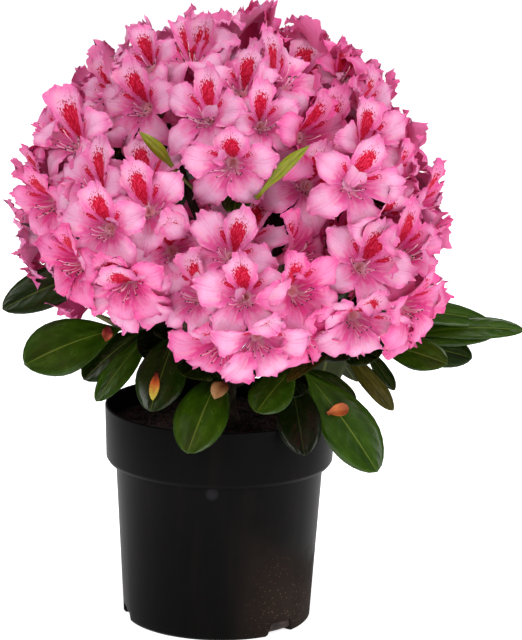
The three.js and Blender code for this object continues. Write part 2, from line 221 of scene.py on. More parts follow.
SHOOTS = {
    "shoot_left": (-78, 88, 250, "left", 0.34, 9),
    "shoot_front": (-8, 58, 214, "front_low", 0.3, 9),
    "shoot_front_right": (50, 84, 228, "right_low", 0.3, 9),
    "shoot_right": (86, 136, 240, "right_low", 0.5, 9),
    "shoot_back_right": (146, 92, 240, "back_low_right", 0.26, 9),
    "shoot_back_left": (-140, 92, 242, "back_low_left", 0.32, 9),
}

# Flowers that close gaps in the winding: truss, and the place that the flower's stalk makes for
FILLING_FLOWERS = (
    ("front_left", (-66, -135, 300)),
    ("top", (60, 20, 500)),
    ("upper_right", (66, 0, 500)),
)

# Flower: shares run from the throat to the tip of a lobe, and lobes from the upper one round
LOBES = 5
LOBE_SHARES = (0.0, 0.13, 0.27, 0.4, 0.53, 0.65, 0.77, 0.89, 1.0)
LOBE_HALF_WIDTHS = (2.9, 6.3, 9.9, 12.7, 14.3, 14.9, 14.6, 12.9, 9.4)
LOBE_WIDTH_RANGE = (0.9, 1.08)
LOBE_REACH = (4.6, 40.5)
LOBE_REACH_RANGE = (0.9, 1.06)
LOBE_CORNER_ROUND = 8.0
LOBE_SWING = (-0.1, 0.1)
LOBE_RISE = 19
LOBE_CREST = 0.77
LOBE_FALL = (-8.0, 2.0, 14.0, 14.0, 2.0)
LOBE_FALL_SWAY = (-4.0, 6.0)
LOBE_KEEL = ((-2, 4), (-3, 3), (-2, 5), (-2, 5), (-3, 3))
LOBE_TILT = (-2.5, 4.5)
LOBE_PUFF = 1.3
LOBE_PUFF_RANGE = (0.3, 1.3)
LOBE_CREASE = 2.0
LOBE_CREASE_RANGE = (0.6, 1.4)
LOBE_CREASE_WIDTH = 0.15
LOBE_FREE_FROM = 0.1
LOBE_FREE_SPAN = 0.5
LOBE_TIP_SHARE = 0.99
LOBE_COLUMNS = 4
LOBE_ROWS = 6
LOBE_SHEET = (0.8, 0.88)
LOBE_THICKNESS = 0.45
FLOWER_THROAT = 43
PETAL_SEED = 7

# Ripples along a lobe's margin: the range of their depth and of their pace
BROAD_RIPPLE = ((1.6, 4.2), (2.6, 4.6))
FINE_RIPPLE = ((1.0, 2.4), (8, 12))
CRIMP = ((1.3, 2.6), (15, 22))
CRIMP_SPLAY = 0.4
MARGIN_STRETCH = 1.3
MARGIN_FOOT = 0.05
FRILL_STEPS = 3
FRILL_DEPTH = 1.1
FRILL_SPREAD = (0.4, 0.8)
FRILL_LIMITS = (-0.8, 1.3)
FRILL_SPLAY = (0, 0.7)

# Tube, stalk, stamens and style
TUBE_REACH = (1.5, 2.6, 3.6, 4.4, 5.2, 3.4, 0.2)
TUBE_RISE = (-24.0, -19.0, -13.0, -6.0, 0.6, -2.5, -8.0)
TUBE_COLUMNS = 10
PEDICEL_RADIUS = 1.05
PEDICEL_SINK = 5
PEDICEL_BOW = 2.5
PEDICEL_SIDES = 6
STAMENS = 9
STAMEN_FAN = 80
STAMEN_FAN_SWAY = 8
STAMEN_SPREAD = (7, 15)
STAMEN_LIFT = 1.0
STAMEN_DROP = 0.9
STAMEN_REACH = (8, 17)
STAMEN_SEED = 19
STYLE_LIFT = 3.0
STYLE_REACH = (20, 25)
THREAD_BEND = np.array([0.35, 0.3, 0.0])
THREAD_SAG = np.array([0.0, -6.5, 6.0])
FILAMENT_RADIUS = 0.29
FILAMENT_SIDES = 3
ANTHER_SIZE = np.array([0.75, 0.75, 1.5])
STIGMA_SIZE = np.array([0.75, 0.75, 0.8])
STALK_STATIONS = 6
STALK_SHARES = np.linspace(0, 1, STALK_STATIONS)[:, None]

# Leaf
LEAF_LENGTH = 104
LEAF_HALF_WIDTH = 21
PETIOLE_HALF_WIDTH = 1.7
PETIOLE_SHARE = 0.13
PETIOLE_TAPER = 0.8
BROAD_LEAF = (1.42, 0.58)
NARROW_LEAF = (0.9, 0.85)
LEAF_DROOP = 0.2
LEAF_FACE_UP = 0.8
TOWARDS_VIEWER = np.array([0.0, -1.0, 0.0])
VIEWER_TURN = 1.6
LEAF_LENGTH_RANGE = (0.86, 1.06)
LEAF_SIZES = (1, 0.86, 0.72)
WHORL_TURN = 65
WHORL_SPAN = (0.25, 0.95)
TRUSS_WHORL = 11.4
TRUSS_LEAF_LEAN = (4, 18)
SHOOT_LEAF_LEAN = (8, 72)
LEAF_SEED = 2000
LEAF_SHADE_SEED = 43
LEAF_ROWS = 13
LEAF_COLUMNS = 8
LEAF_POINTS = (LEAF_ROWS + 1) * (LEAF_COLUMNS + 1)
LEAF_TIP_CROWDING = 1.5
LEAF_STATIONS = 1 - (1 - np.linspace(0, 1, LEAF_ROWS + 1)) ** LEAF_TIP_CROWDING
LEAF_THICKNESS = 0.7
LEAF_EDGE_THICKNESS = 0.12
LEAF_CAMBER = (-4.2, 0.5)
LEAF_RIB_SINK = 0.9
LEAF_RIB_WIDTH = 0.14
LEAF_WAVE_DEPTH = (0.4, 1.3)
LEAF_WAVE_PACE = (9, 14)
LEAF_WAVE_START = (0, 6)
LEAF_WAVE_LAG = 0.7
LEAF_MATCH = 0.8

# Leaves under the dome, beside it, between its trusses and in its heart: limb, share along it, tip,
# half width, shade, and how far the blade is turned up to the viewer
SHOWN_LEAVES = {
    "left_high": ("left_low", 0.75, (-180, 0, 256), 17, "dark", 1.5),
    "left_broad": ("shoot_left", 0.75, (-158, -55, 223), 24, "mid", 1.0),
    "left_behind": ("shoot_left", 0.4, (-111, -40, 208), 16, "dark", 0.8),
    "left_over_rim": ("shoot_left", 0.3, (-100, -55, 194), 12, "mid", 0.5),
    "front_left_hanging": ("front_left", 0.5, (-55, -95, 197), 20, "dark", 1.0),
    # Leaves in the inner tint, here and below, are darkened as painted shade of the crown's heart
    "front_left_inner": ("front_left", 0.45, (-36, -62, 246), 22, "shaded_inner", 0.7),
    "left_inner": ("front_left", 0.35, (-66, -58, 236), 18, "shaded_inner", 0.8),
    "heart_left": ("front_left", 0.3, (-58, -20, 278), 24, "shaded_inner", 1.2),
    "heart_front": ("front_left", 0.25, (-8, -34, 284), 24, "shaded_inner", 1.2),
    "front_level": ("front_low", 0.2, (-29, -98, 228), 15, "dark", 0.5),
    "front_hanging": ("shoot_front", 0.2, (-24, -128, 172), 21, "mid", 1.0),
    "front_inner": ("front_low", 0.4, (14, -96, 222), 18, "shaded_inner", 0.7),
    "front_right_low": ("shoot_front_right", 1.0, (30, -118, 204), 17, "mid", 0.9),
    "front_right_dark": ("shoot_front_right", 0.7, (69, -98, 164), 18, "shaded_inner", 0.8),
    "front_right_broad": ("shoot_front_right", 0.95, (128, -85, 148), 22, "mid", 1.0),
    "right_old": ("shoot_right", 0.6, (54, -120, 230), 8, "olive", 0.3),
    "right_glossy": ("shoot_right", 0.45, (127, -66, 238), 16, "dark", 0.9),
    "right_inner": ("right_low", 0.7, (104, -64, 236), 20, "shaded_inner", 0.7),
    "heart_right": ("right_low", 0.5, (132, -48, 262), 24, "shaded_inner", 1.0),
    "right_short": ("shoot_front_right", 0.9, (110, -60, 201), 8, "dark", 0.7),
    "right_drooping": ("shoot_right", 0.5, (141, -45, 189), 9, "olive", 0.5),
    "right_narrow": ("shoot_right", 0.75, (142, -30, 202), 7, "dark", 0.4),
    "right_shiny": ("shoot_right", 0.8, (183, -50, 230), 15, "mid", 0.9),
    "right_blunt": ("shoot_right", 0.85, (205, -20, 228), 16, "dark", 0.8),
    "right_high": ("right_low", 0.7, (220, -8, 256), 12, "mid", 0.6),
    "right_level": ("shoot_right", 0.9, (222, -14, 246), 11, "mid", 0.8),
    "right_far": ("shoot_right", 1.0, (246, -24, 253), 10, "mid", 0.9),
    "dome_gap": ("front_top", 0.8, (8, -122, 364), 12, "mid", 0.9),
    "heart_upper": ("front_top", 0.35, (-40, -72, 352), 24, "shaded_inner", 0.2),
    "heart_low_left": ("front_left", 0.6, (-62, -84, 318), 20, "shaded_inner", 0.5),
    "heart_back": ("back", 0.7, (10, 112, 330), 22, "shaded_inner", 0.0),
    "heart_middle": ("right_front", 0.35, (34, -6, 352), 24, "shaded_inner", 1.2),
    "heart_low": ("front_low", 0.3, (44, -66, 240), 20, "shaded_inner", 1.0),
    "heart_low_right": ("shoot_front_right", 0.3, (66, -68, 206), 14, "shaded_inner", 0.8),
    "beside_right": ("shoot_right", 0.6, (118, 52, 206), 17, "dark", 0.0),
    "beside_right_low": ("shoot_right", 0.4, (112, 18, 197), 16, "mid", 0.0),
    "beside_back_right": ("shoot_back_right", 0.6, (104, 92, 208), 17, "dark", 0.0),
    "beside_left": ("shoot_left", 0.5, (-100, 36, 212), 17, "dark", 0.0),
    "beside_back_left": ("shoot_back_left", 0.6, (-96, 88, 208), 17, "mid", 0.0),
}

# Young leaves that stand out between the trusses on twigs: limb, share along it, foot and tip of the leaf
YOUNG_LEAVES = {
    "young_upper_left": ("front_top", 0.45, (-36, -98, 391), (-66, -112, 426)),
    "young_upper_right": ("front_top", 0.8, (27, -130, 379), (67, -138, 423)),
}
YOUNG_HALF_WIDTH = 5
TWIG_RADIUS = 1.4
TWIG_SIDES = 6

# Fallen bud scales: leaf that each lies on, share along it, place to its side, turn, length, half width,
# and the tints of its foot, middle and tip
BUD_SCALES = {
    "amber": ("front_left_hanging", 0.78, 2, 8, 24, 4, ((112, 24, 12), (206, 92, 16), (206, 190, 70))),
    "tan": ("front_hanging", 0.38, -6, -8, 22, 7, ((150, 44, 36), (206, 140, 88), (226, 178, 122))),
    "rust": ("front_right_broad", 0.5, 0, 66, 18, 5.5, ((160, 80, 26), (196, 104, 40), (150, 66, 20))),
    "crimson": ("left_broad", 0.24, -2, 60, 14, 4.5, ((104, 18, 22), (158, 44, 44), (190, 92, 60))),
}
SCALE_LIFT = 1.6
SCALE_CURL = 0.6
SCALE_SEED = 5

# Leaves of the rule keep behind the front edge, and within the side edge below the dome's foot. Each takes
# the first of these turns that keeps it there
FRONT_EDGE = -25
SIDE_EDGE = 96
DOME_FOOT = 292
LEAF_TURNS = (0, 40, -40, 80, -80, 120, -120, 160)

# Tints as a screen shows them. Petals: throat, heart, face and margin of a lobe's front, and its back
# The pale, rosy and deep sets stand for one pink in light and in shade: painted light and shade
PETAL_TINTS = {
    "pale": ((248, 180, 202), (244, 94, 170), (248, 188, 224), (244, 120, 190), (248, 166, 210)),
    "rosy": ((248, 160, 190), (241, 66, 150), (246, 154, 205), (241, 92, 172), (246, 146, 198)),
    "deep": ((246, 142, 178), (238, 52, 138), (245, 138, 196), (239, 80, 162), (244, 132, 190)),
}
THROAT_FLOOR_TINT = (246, 178, 176)

# Painted light and shade: flowers that face the light are pale and those turned from it are rosy or deep
LIGHT_WAY = (-0.35, -0.75, 0.55)
PALE_FACING = 0.42
ROSY_FACING = -0.3
FACING_SCATTER = 0.5

# Leaves: dark and light of the blade, and its rib. Shares in which the rule's own leaves are dealt out
LEAF_TINTS = {
    "dark": ((12, 24, 1), (30, 48, 4), (84, 100, 34)),
    # The inner tints are painted shade: near-black greens for leaves deep in the crown's shade
    "shaded_inner": ((6, 12, 1), (15, 25, 3), (44, 54, 20)),
    "mid": ((24, 46, 2), (50, 78, 6), (104, 120, 44)),
    "fresh": ((94, 100, 11), (138, 140, 28), (164, 160, 74)),
    "olive": ((44, 44, 10), (78, 74, 20), (108, 104, 42)),
}
LEAF_SHARES = {"dark": 0.62, "mid": 0.3, "fresh": 0.08}

# Stalks, threads and their tips: foot and tip
STALK_TINTS = {
    "woody_stem": ((96, 76, 48), (104, 112, 52)),
    "flower_stalk": ((120, 116, 56), (186, 84, 110)),
    "pale_filament": ((244, 168, 184), (252, 204, 222)),
    "dark_anther": ((46, 22, 20), (84, 40, 30)),
    "red_stigma": ((150, 30, 50), (190, 60, 70)),
}

# A blotch's middle across and along the lobe, half its width and length, and how close its flecks stand
# at its foot
UPPER_BLOTCH = (0.5, 0.42, 0.37, 0.6, 2.3)
SIDE_BLOTCH = (0.22, 0.3, 0.15, 0.28, 0.95)
BLOTCH_TIP_CROWDING = 0.5
PETAL_GLOW = 0.32
TUBE_GLOW = 0.4

# Marks on the pot, in metres: how far up and across its dust fades, and a spot's place, size and strength
POT_DUST_HEIGHTS = (0.125, 0.012)
POT_DUST_SIDES = (0.004, 0.052)
POT_SPOT = (-0.0045, -0.0855, 0.1265)
POT_SPOT_RADII = (0.0065, 0.003)
POT_SPOT_STRENGTH = 0.2

# Petal places on the bake map: a tile for each kind of lobe, and the slots of their finishes
TILES = 3
TILE_INSET = 0.015
UPPER_TILES = ((0, 0), (1, 0), (2, 0))
SIDE_TILE = (0, 1)
LOWER_TILES = ((1, 1), (2, 1))
BACK_TILE = (0, 2)
TUBE_TILE = (1, 2)
UPPER_SLOT, SIDE_SLOT, LOWER_SLOT, BACK_SLOT, TUBE_SLOT = range(5)

# Stage, in metres: each light's place, size and power, and what the lights and the camera look at
LIGHTS = {
    "key_light": ((-1.2, -2.0, 2.1), 1.5, 40),
    "fill_light": ((1.9, -1.6, 1.4), 1.8, 37),
    "top_light": ((0.2, 0.3, 2.5), 1.4, 32),
}
LIGHT_AIM = (0, 0, 0.28)
WHITE = (1, 1, 1, 1)
SKY_STRENGTH = 0.24
FLOOR_RADIUS = 14
FLOOR_STEPS = 96
FLOOR_GLOW = 0.75
CAMERA_EYE = (0.032, -2.9, 0.93)
CAMERA_TARGET = (0.032, 0.0, 0.2515)
CAMERA_ROLL = 1.2
CAMERA_LENS = 204.4
CAMERA_SENSOR = 36


# Vectors

def lerp(a, b, share):
    return a + (b - a) * share


def unit(vector):
    return vector / np.linalg.norm(vector, axis=-1, keepdims=True)


def square_to(vector, axis):
    """The unit part of a vector that stands square to a unit axis."""
    return unit(vector - axis * np.sum(vector * axis, axis=-1, keepdims=True))


def at_bearing(bearing, out, up):
    """A point at a bearing counted from the front of the plant towards its right."""
    turn = math.radians(bearing)
    return np.array([out * math.sin(turn), -out * math.cos(turn), up])


def turned(vector, axis, angle):
    """A vector square to a unit axis, turned about it."""
    return vector * math.cos(angle) + np.cross(axis, vector) * math.sin(angle)


def seeded(seed):
    """Even random numbers from 0 to 1, the same ones for the same seed as in the part's source."""
    mask = 0xFFFFFFFF
    state = seed
    while True:
        state = (state + 0x6D2B79F5) & mask
        mixed = ((state ^ (state >> 15)) * (state | 1)) & mask
        mixed ^= (mixed + (mixed ^ (mixed >> 7)) * (mixed | 61)) & mask
        yield (mixed ^ (mixed >> 14)) / (mask + 1)


# Growth rule

class Limb:
    """A tapering limb along a bent line, with shares counted along its length."""

    def __init__(self, handles, radius_at):
        shares = np.linspace(0, 1, LIMB_SAMPLES)[:, None]
        rest = 1 - shares
        a, b, c, d = handles
        self.points = a * rest**3 + 3 * b * rest**2 * shares + 3 * c * rest * shares**2 + d * shares**3
        steps = np.linalg.norm(np.diff(self.points, axis=0), axis=1)
        self.lengths = np.concatenate([[0], np.cumsum(steps)])
        self.radius_at = radius_at

    def at(self, share):
        wanted = share * self.lengths[-1]
        return np.array([np.interp(wanted, self.lengths, self.points[:, axis]) for axis in range(3)])

    def way_at(self, share):
        return unit(self.at(min(share + LIMB_LOOK, 1)) - self.at(max(share - LIMB_LOOK, 0)))


def grow_trunk():
    """The trunk leans a little from its foot in the mix to its tip, with a flare of roots."""
    foot = np.array([*TRUNK_FOOT, SOIL_LEVEL + CLEARANCE])
    tip = np.array(TRUNK_TIP, float)
    third = UP * (tip[2] - foot[2]) / 3

    def radius_at(share):
        flare = ROOT_FLARE * math.exp(-share / ROOT_FLARE_SHARE)
        return lerp(TRUNK_FOOT_RADIUS, TRUNK_TIP_RADIUS, share) + flare

    return Limb((foot, foot + third, tip - third, tip), radius_at)


class Mass:
    """A truss or a shoot: where its middle is, the way it faces, and the foot of its stem."""

    def __init__(self, name, row, index, flowering):
        bearing, out, up, self.parent, self.share, self.leaves = row
        self.name = name
        self.index = index
        self.flowering = flowering
        self.node = f"truss_{name}" if flowering else name
        self.bough_node = f"bough_{name}"
        self.centre = at_bearing(bearing, out, up)
        from_heart = (self.centre - np.array(CROWN_HEART)) * np.array([1, 1, CROWN_LIFT])
        self.facing = unit(from_heart if flowering else at_bearing(bearing, 1, SHOOT_RISE))
        self.foot = self.centre - self.facing * (TRUSS_CENTRE if flowering else 0)
        self.solid = np.array([vertex.co for vertex in frame["nodes"][self.node].data.vertices]) / MM
        self.heart = self.centre - self.facing * TRUSS_SINK
        upright = abs(self.facing[2]) > NEARLY_UPRIGHT
        self.side = square_to(LEVEL if upright else UP, self.facing)


def grow_bough(mass, parent):
    """A bough leaves its parent along its way to the mass and arrives in line with the mass's stem."""
    on_tip = mass.share == 1
    along = parent.way_at(mass.share)
    start = parent.at(mass.share) + (along * CLEARANCE if on_tip else 0)
    leave = along if on_tip else unit(square_to(mass.foot - start, along) + along * LIMB_LIFT)
    handle = np.linalg.norm(start - mass.foot) * LIMB_BEND
    own_radius = BOUGH_RADIUS if mass.parent == "trunk" else BRANCH_RADIUS
    foot_radius = LEADER_RADIUS if on_tip else own_radius
    handles = (start, start + leave * handle, mass.foot - mass.facing * handle, mass.foot)
    return Limb(handles, lambda share: lerp(foot_radius, LIMB_TIP_RADIUS, share))


trusses = [Mass(name, row, index, True) for index, (name, row) in enumerate(TRUSSES.items())]
shoots = [Mass(name, row, index, False) for index, (name, row) in enumerate(SHOOTS.items(), len(TRUSSES))]
limbs = {"trunk": grow_trunk()}
for mass in trusses + shoots:
    limbs[mass.name] = grow_bough(mass, limbs[mass.parent])


def wound(mass, rank, own_turn):
    """The way out of a stem for its flower or leaf of a rank, wound round it by the golden angle."""
    return turned(mass.side, mass.facing, math.radians(GOLDEN_ANGLE * rank + own_turn * mass.index))


class Flower:
    """One flower of a truss: its throat, the way it faces, the way of its upper lobe, and its size."""

    def __init__(self, mass, rank, way):
        self.mass = mass
        self.number = mass.index * FLOWERS_PER_TRUSS + rank
        from_heart = mass.heart + way * FLOWER_THROAT - np.array(CROWN_HEART)
        outward = unit(from_heart * np.array([1, 1, FLOWER_OUTWARD_LIFT]))
        rng = np.random.default_rng(self.number)
        roll = math.radians(FLOWER_ROLL) * rng.uniform(-1, 1)
        self.stalk_way = way
        self.way = unit(way + outward * FLOWER_OUTWARD + rng.uniform(-1, 1, 3) * FLOWER_SWAY)
        self.upper = turned(square_to(FLOWER_UPRIGHT * UP + mass.facing, self.way), self.way, roll)
        self.across = np.cross(self.way, self.upper)
        self.size = next((size for size in FLOWER_SIZES if self.keeps_to_its_space(size)), None)
        self.throat = mass.heart + way * FLOWER_THROAT * (self.size or 1)

    def round_way(self, turns):
        """Ways square to the flower's own, at turns from its upper lobe."""
        return np.outer(np.cos(turns), self.upper) + np.outer(np.sin(turns), self.across)

    def keeps_to_its_space(self, size):
        """True if the rim stays in the dome, and on its own side of the planes to the other trusses."""
        lobe_ways = self.round_way(np.radians(np.arange(LOBES) * 360 / LOBES))
        rises = LOBE_RISE - np.array(LOBE_FALL)
        rim = self.stalk_way * FLOWER_THROAT + np.outer(rises, self.way) + lobe_ways * LOBE_REACH[1]
        rim = rim * size
        wide, deep, high = ((self.mass.heart + rim - np.array(DOME_HEART)) / np.array(DOME_REACH)).T
        level = (np.abs(wide) ** DOME_SQUARENESS + np.abs(deep) ** DOME_SQUARENESS) ** (1 / DOME_SQUARENESS)
        if np.max(np.hypot(level, np.maximum(high, 0))) > 1:
            return False
        for other in trusses:
            between = other.centre - self.mass.centre
            span = np.linalg.norm(between)
            if span and np.max(rim @ (between / span)) > span / 2 + FLOWER_SPILL:
                return False
        return True


def grow_flowers(mass):
    """Flowers wind up a truss by the golden angle, over its outer side. Those without room stay out."""
    cap = 1 - math.cos(math.radians(TRUSS_SPREAD))
    ways = []
    for rank in range(FLOWERS_PER_TRUSS):
        lean = math.acos(1 - (rank + 0.5) / FLOWERS_PER_TRUSS * cap)
        sideways = wound(mass, rank, TRUSS_TURN)
        ways.append(mass.facing * math.cos(lean) + sideways * math.sin(lean))
    ways += [unit(np.array(place) - mass.heart) for name, place in FILLING_FLOWERS if name == mass.name]
    grown = [Flower(mass, rank, way) for rank, way in enumerate(ways)]
    return [flower for flower in grown if flower.size]


class Leaf:
    """A blade from its root to its tip, with the side that it shows, its half width and its shade."""

    def __init__(self, root, tip, face, half_width, shade=None, outline=BROAD_LEAF):
        self.root = root
        self.tip = tip
        self.outline = outline
        self.face = face
        self.half_width = half_width
        self.shade = shade
        self.arch = UP * np.linalg.norm(tip - root) * LEAF_DROOP

    def spine(self, share):
        return lerp(self.root, self.tip, share) + self.arch * (share - share**2)

    def way(self, share):
        return unit(self.tip - self.root + self.arch * (1 - 2 * share))


def grow_leaves(mass):
    """Leaves stand round a stem by the golden angle. Each is as long as its leaf in the solid."""
    random = seeded(LEAF_SEED + mass.index)
    stem = TRUSS_WHORL if mass.flowering else SHOOT_STEM
    leans = TRUSS_LEAF_LEAN if mass.flowering else SHOOT_LEAF_LEAN
    for rank in range(mass.leaves):
        share = rank / mass.leaves
        lean = math.radians(lerp(*leans, next(random) if mass.flowering else share))
        way = wound(mass, rank, WHORL_TURN) * math.cos(lean) + mass.facing * math.sin(lean)
        root = mass.foot + mass.facing * stem * lerp(*WHORL_SPAN, share)
        length = LEAF_LENGTH * lerp(*LEAF_LENGTH_RANGE, next(random))
        for size in LEAF_SIZES:
            tip = root + (way - UP * LEAF_DROOP) * length * size
            if np.min(np.linalg.norm(mass.solid - tip, axis=1)) < LEAF_MATCH:
                yield Leaf(root, tip, mass.facing + UP * LEAF_FACE_UP, LEAF_HALF_WIDTH * size)
                break


def shown_leaf(limb, share, tip, half_width, shade, turned_up):
    """A leaf from a place on a limb to a tip of its own, turned up to the viewer."""
    face = UP + TOWARDS_VIEWER * VIEWER_TURN * turned_up
    return Leaf(limbs[limb].at(share), np.array(tip, float), face, half_width, shade)


def turned_in(leaf):
    """A leaf of the rule, turned about an upright line where it would hang among the shown leaves."""
    reach = leaf.tip - leaf.root
    rise = UP * reach[2]
    for turn in LEAF_TURNS:
        tip = leaf.root + rise + turned(reach - rise, UP, math.radians(turn))
        beside = abs(tip[0]) > SIDE_EDGE and tip[2] < DOME_FOOT
        if not beside and tip[1] > FRONT_EDGE:
            return Leaf(leaf.root, tip, leaf.face if turn == 0 else UP, leaf.half_width)
    return None


def young_leaf(foot, tip):
    """A narrow fresh leaf that shows its face to the viewer."""
    ends = np.array([foot, tip], float)
    return Leaf(*ends, TOWARDS_VIEWER, YOUNG_HALF_WIDTH, "fresh", NARROW_LEAF)


flowers = [flower for mass in trusses for flower in grow_flowers(mass)]
shown_leaves = {name: shown_leaf(*row) for name, row in SHOWN_LEAVES.items()}
shown_limbs = {row[0] for row in SHOWN_LEAVES.values()}
leaves = list(shown_leaves.values()) + [young_leaf(foot, tip) for *_, foot, tip in YOUNG_LEAVES.values()]
for mass in trusses + [shoot for shoot in shoots if shoot.name not in shown_limbs]:
    leaves += [leaf for leaf in map(turned_in, grow_leaves(mass)) if leaf]


# Joined meshes of many small things

class Sheaf:
    """Gathers many small shapes into one piece."""

    def __init__(self, name):
        self.name = name
        self.points = []
        self.maps = []
        self.faces = []
        self.slots = []
        self.count = 0

    def add(self, points, place, *coats):
        """Adds points with their places on the bake map, and coats of faces, each with its slot."""
        points = points.reshape(-1, 3)
        self.points.append(points)
        self.maps.append(np.broadcast_to(np.reshape(place, (-1, 2)), (len(points), 2)))
        for faces, slot in coats:
            self.faces.append(faces + self.count)
            self.slots.append(np.full(len(faces), slot))
        self.count += len(points)

    def piece(self, materials, slot):
        """All that was gathered, as one smooth piece in its finishes."""
        mesh = bpy.data.meshes.new(self.name)
        points = np.concatenate(self.points) * MM
        corners = np.concatenate([faces.ravel() for faces in self.faces])
        sizes = np.concatenate([np.full(len(faces), faces.shape[1]) for faces in self.faces])
        mesh.vertices.add(len(points))
        mesh.vertices.foreach_set("co", points.astype(np.float32).ravel())
        mesh.loops.add(len(corners))
        mesh.loops.foreach_set("vertex_index", corners.astype(np.int32))
        mesh.polygons.add(len(sizes))
        mesh.polygons.foreach_set("loop_start", (np.cumsum(sizes) - sizes).astype(np.int32))
        mesh.polygons.foreach_set("material_index", np.concatenate(self.slots).astype(np.int32))
        mesh.polygons.foreach_set("use_smooth", np.ones(len(sizes), bool))
        bake_map = mesh.uv_layers.new(name=BAKE_MAP)
        bake_map.data.foreach_set("uv", np.concatenate(self.maps)[corners].astype(np.float32).ravel())
        mesh.update(calc_edges=True)
        mesh.validate()
        return placed(mesh, materials)


def placed(mesh, materials):
    """A mesh as a piece that rides with the plant, in its finishes."""
    piece = bpy.data.objects.new(mesh.name, mesh)
    bpy.context.scene.collection.objects.link(piece)
    for material in materials:
        mesh.materials.append(material)
    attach(piece, ROOT)
    return piece


def grid_faces(rows, columns):
    """Quads of a sheet of points laid row by row."""
    first = (np.arange(rows)[:, None] * (columns + 1) + np.arange(columns)).ravel()
    return np.stack([first, first + columns + 1, first + columns + 2, first + 1], axis=1)


def sheet_places(across, along):
    """Pairs of shares across and along a sheet, row by row."""
    return np.stack(np.meshgrid(across, along), axis=2).reshape(-1, 2)


def bent_path(start, bend, end):
    """Points along a stalk that is bent once."""
    rest = 1 - STALK_SHARES
    return start * rest**2 + 2 * bend * STALK_SHARES * rest + end * STALK_SHARES**2


def repeated(faces, times, points_each):
    """The faces of a shape, counted on for each of its copies."""
    return (faces[None] + np.arange(times)[:, None, None] * points_each).reshape(-1, faces.shape[1])


def add_stalks(sheaf, paths, radii, sides, slot=0):
    """Thin round stalks along rows of points, closed at both ends."""
    paths = np.asarray(paths, float)
    count, stations = paths.shape[:2]
    radii = np.broadcast_to(np.asarray(radii, float), (count, stations))
    along = unit(np.gradient(paths, axis=1))
    steady = np.where(np.abs(along.mean(axis=1)[:, 2:]) > STEEP, LEVEL, UP)
    across = unit(np.cross(along, steady[:, None, :]))
    lift = np.cross(across, along)
    turns = np.arange(sides) * 2 * np.pi / sides
    ring = across[:, :, None] * np.cos(turns)[:, None] + lift[:, :, None] * np.sin(turns)[:, None]
    points = paths[:, :, None] + ring * radii[:, :, None, None]
    step = np.arange(stations - 1)[:, None] * sides
    spoke = np.arange(sides)
    after = (spoke + 1) % sides
    walls = np.stack([step + spoke, step + after, step + sides + after, step + sides + spoke], axis=2)
    fan = np.stack([np.zeros(sides - 2, int), spoke[2:], spoke[1:-1]], axis=1)
    caps = np.concatenate([fan, fan[:, ::-1] + (stations - 1) * sides])
    each = stations * sides
    place = sheet_places(spoke / sides, np.linspace(0, 1, stations))
    walls = repeated(walls.reshape(-1, 4), count, each)
    caps = repeated(caps, count, each)
    sheaf.add(points, np.tile(place, (count, 1)), (walls, slot), (caps, slot))


# A nugget with six corners, for crumbs and for the tips of stamens
NUGGET = np.array([axis * side for axis in np.eye(3) for side in (1, -1)])
NUGGET_FACES = np.array([
    [0, 2, 4], [2, 1, 4], [1, 3, 4], [3, 0, 4],
    [2, 0, 5], [1, 2, 5], [3, 1, 5], [0, 3, 5],
])


# Finishes

def tint(red, green, blue):
    """A colour as a screen shows it, from 0 to 255, for a shader."""
    def linear(value):
        value /= 255
        return value / 12.92 if value <= 0.04045 else ((value + 0.055) / 1.055) ** 2.4
    return (linear(red), linear(green), linear(blue), 1.0)


def tints(rows):
    """Several colours as a screen shows them, for a shader."""
    return [tint(*row) for row in rows]


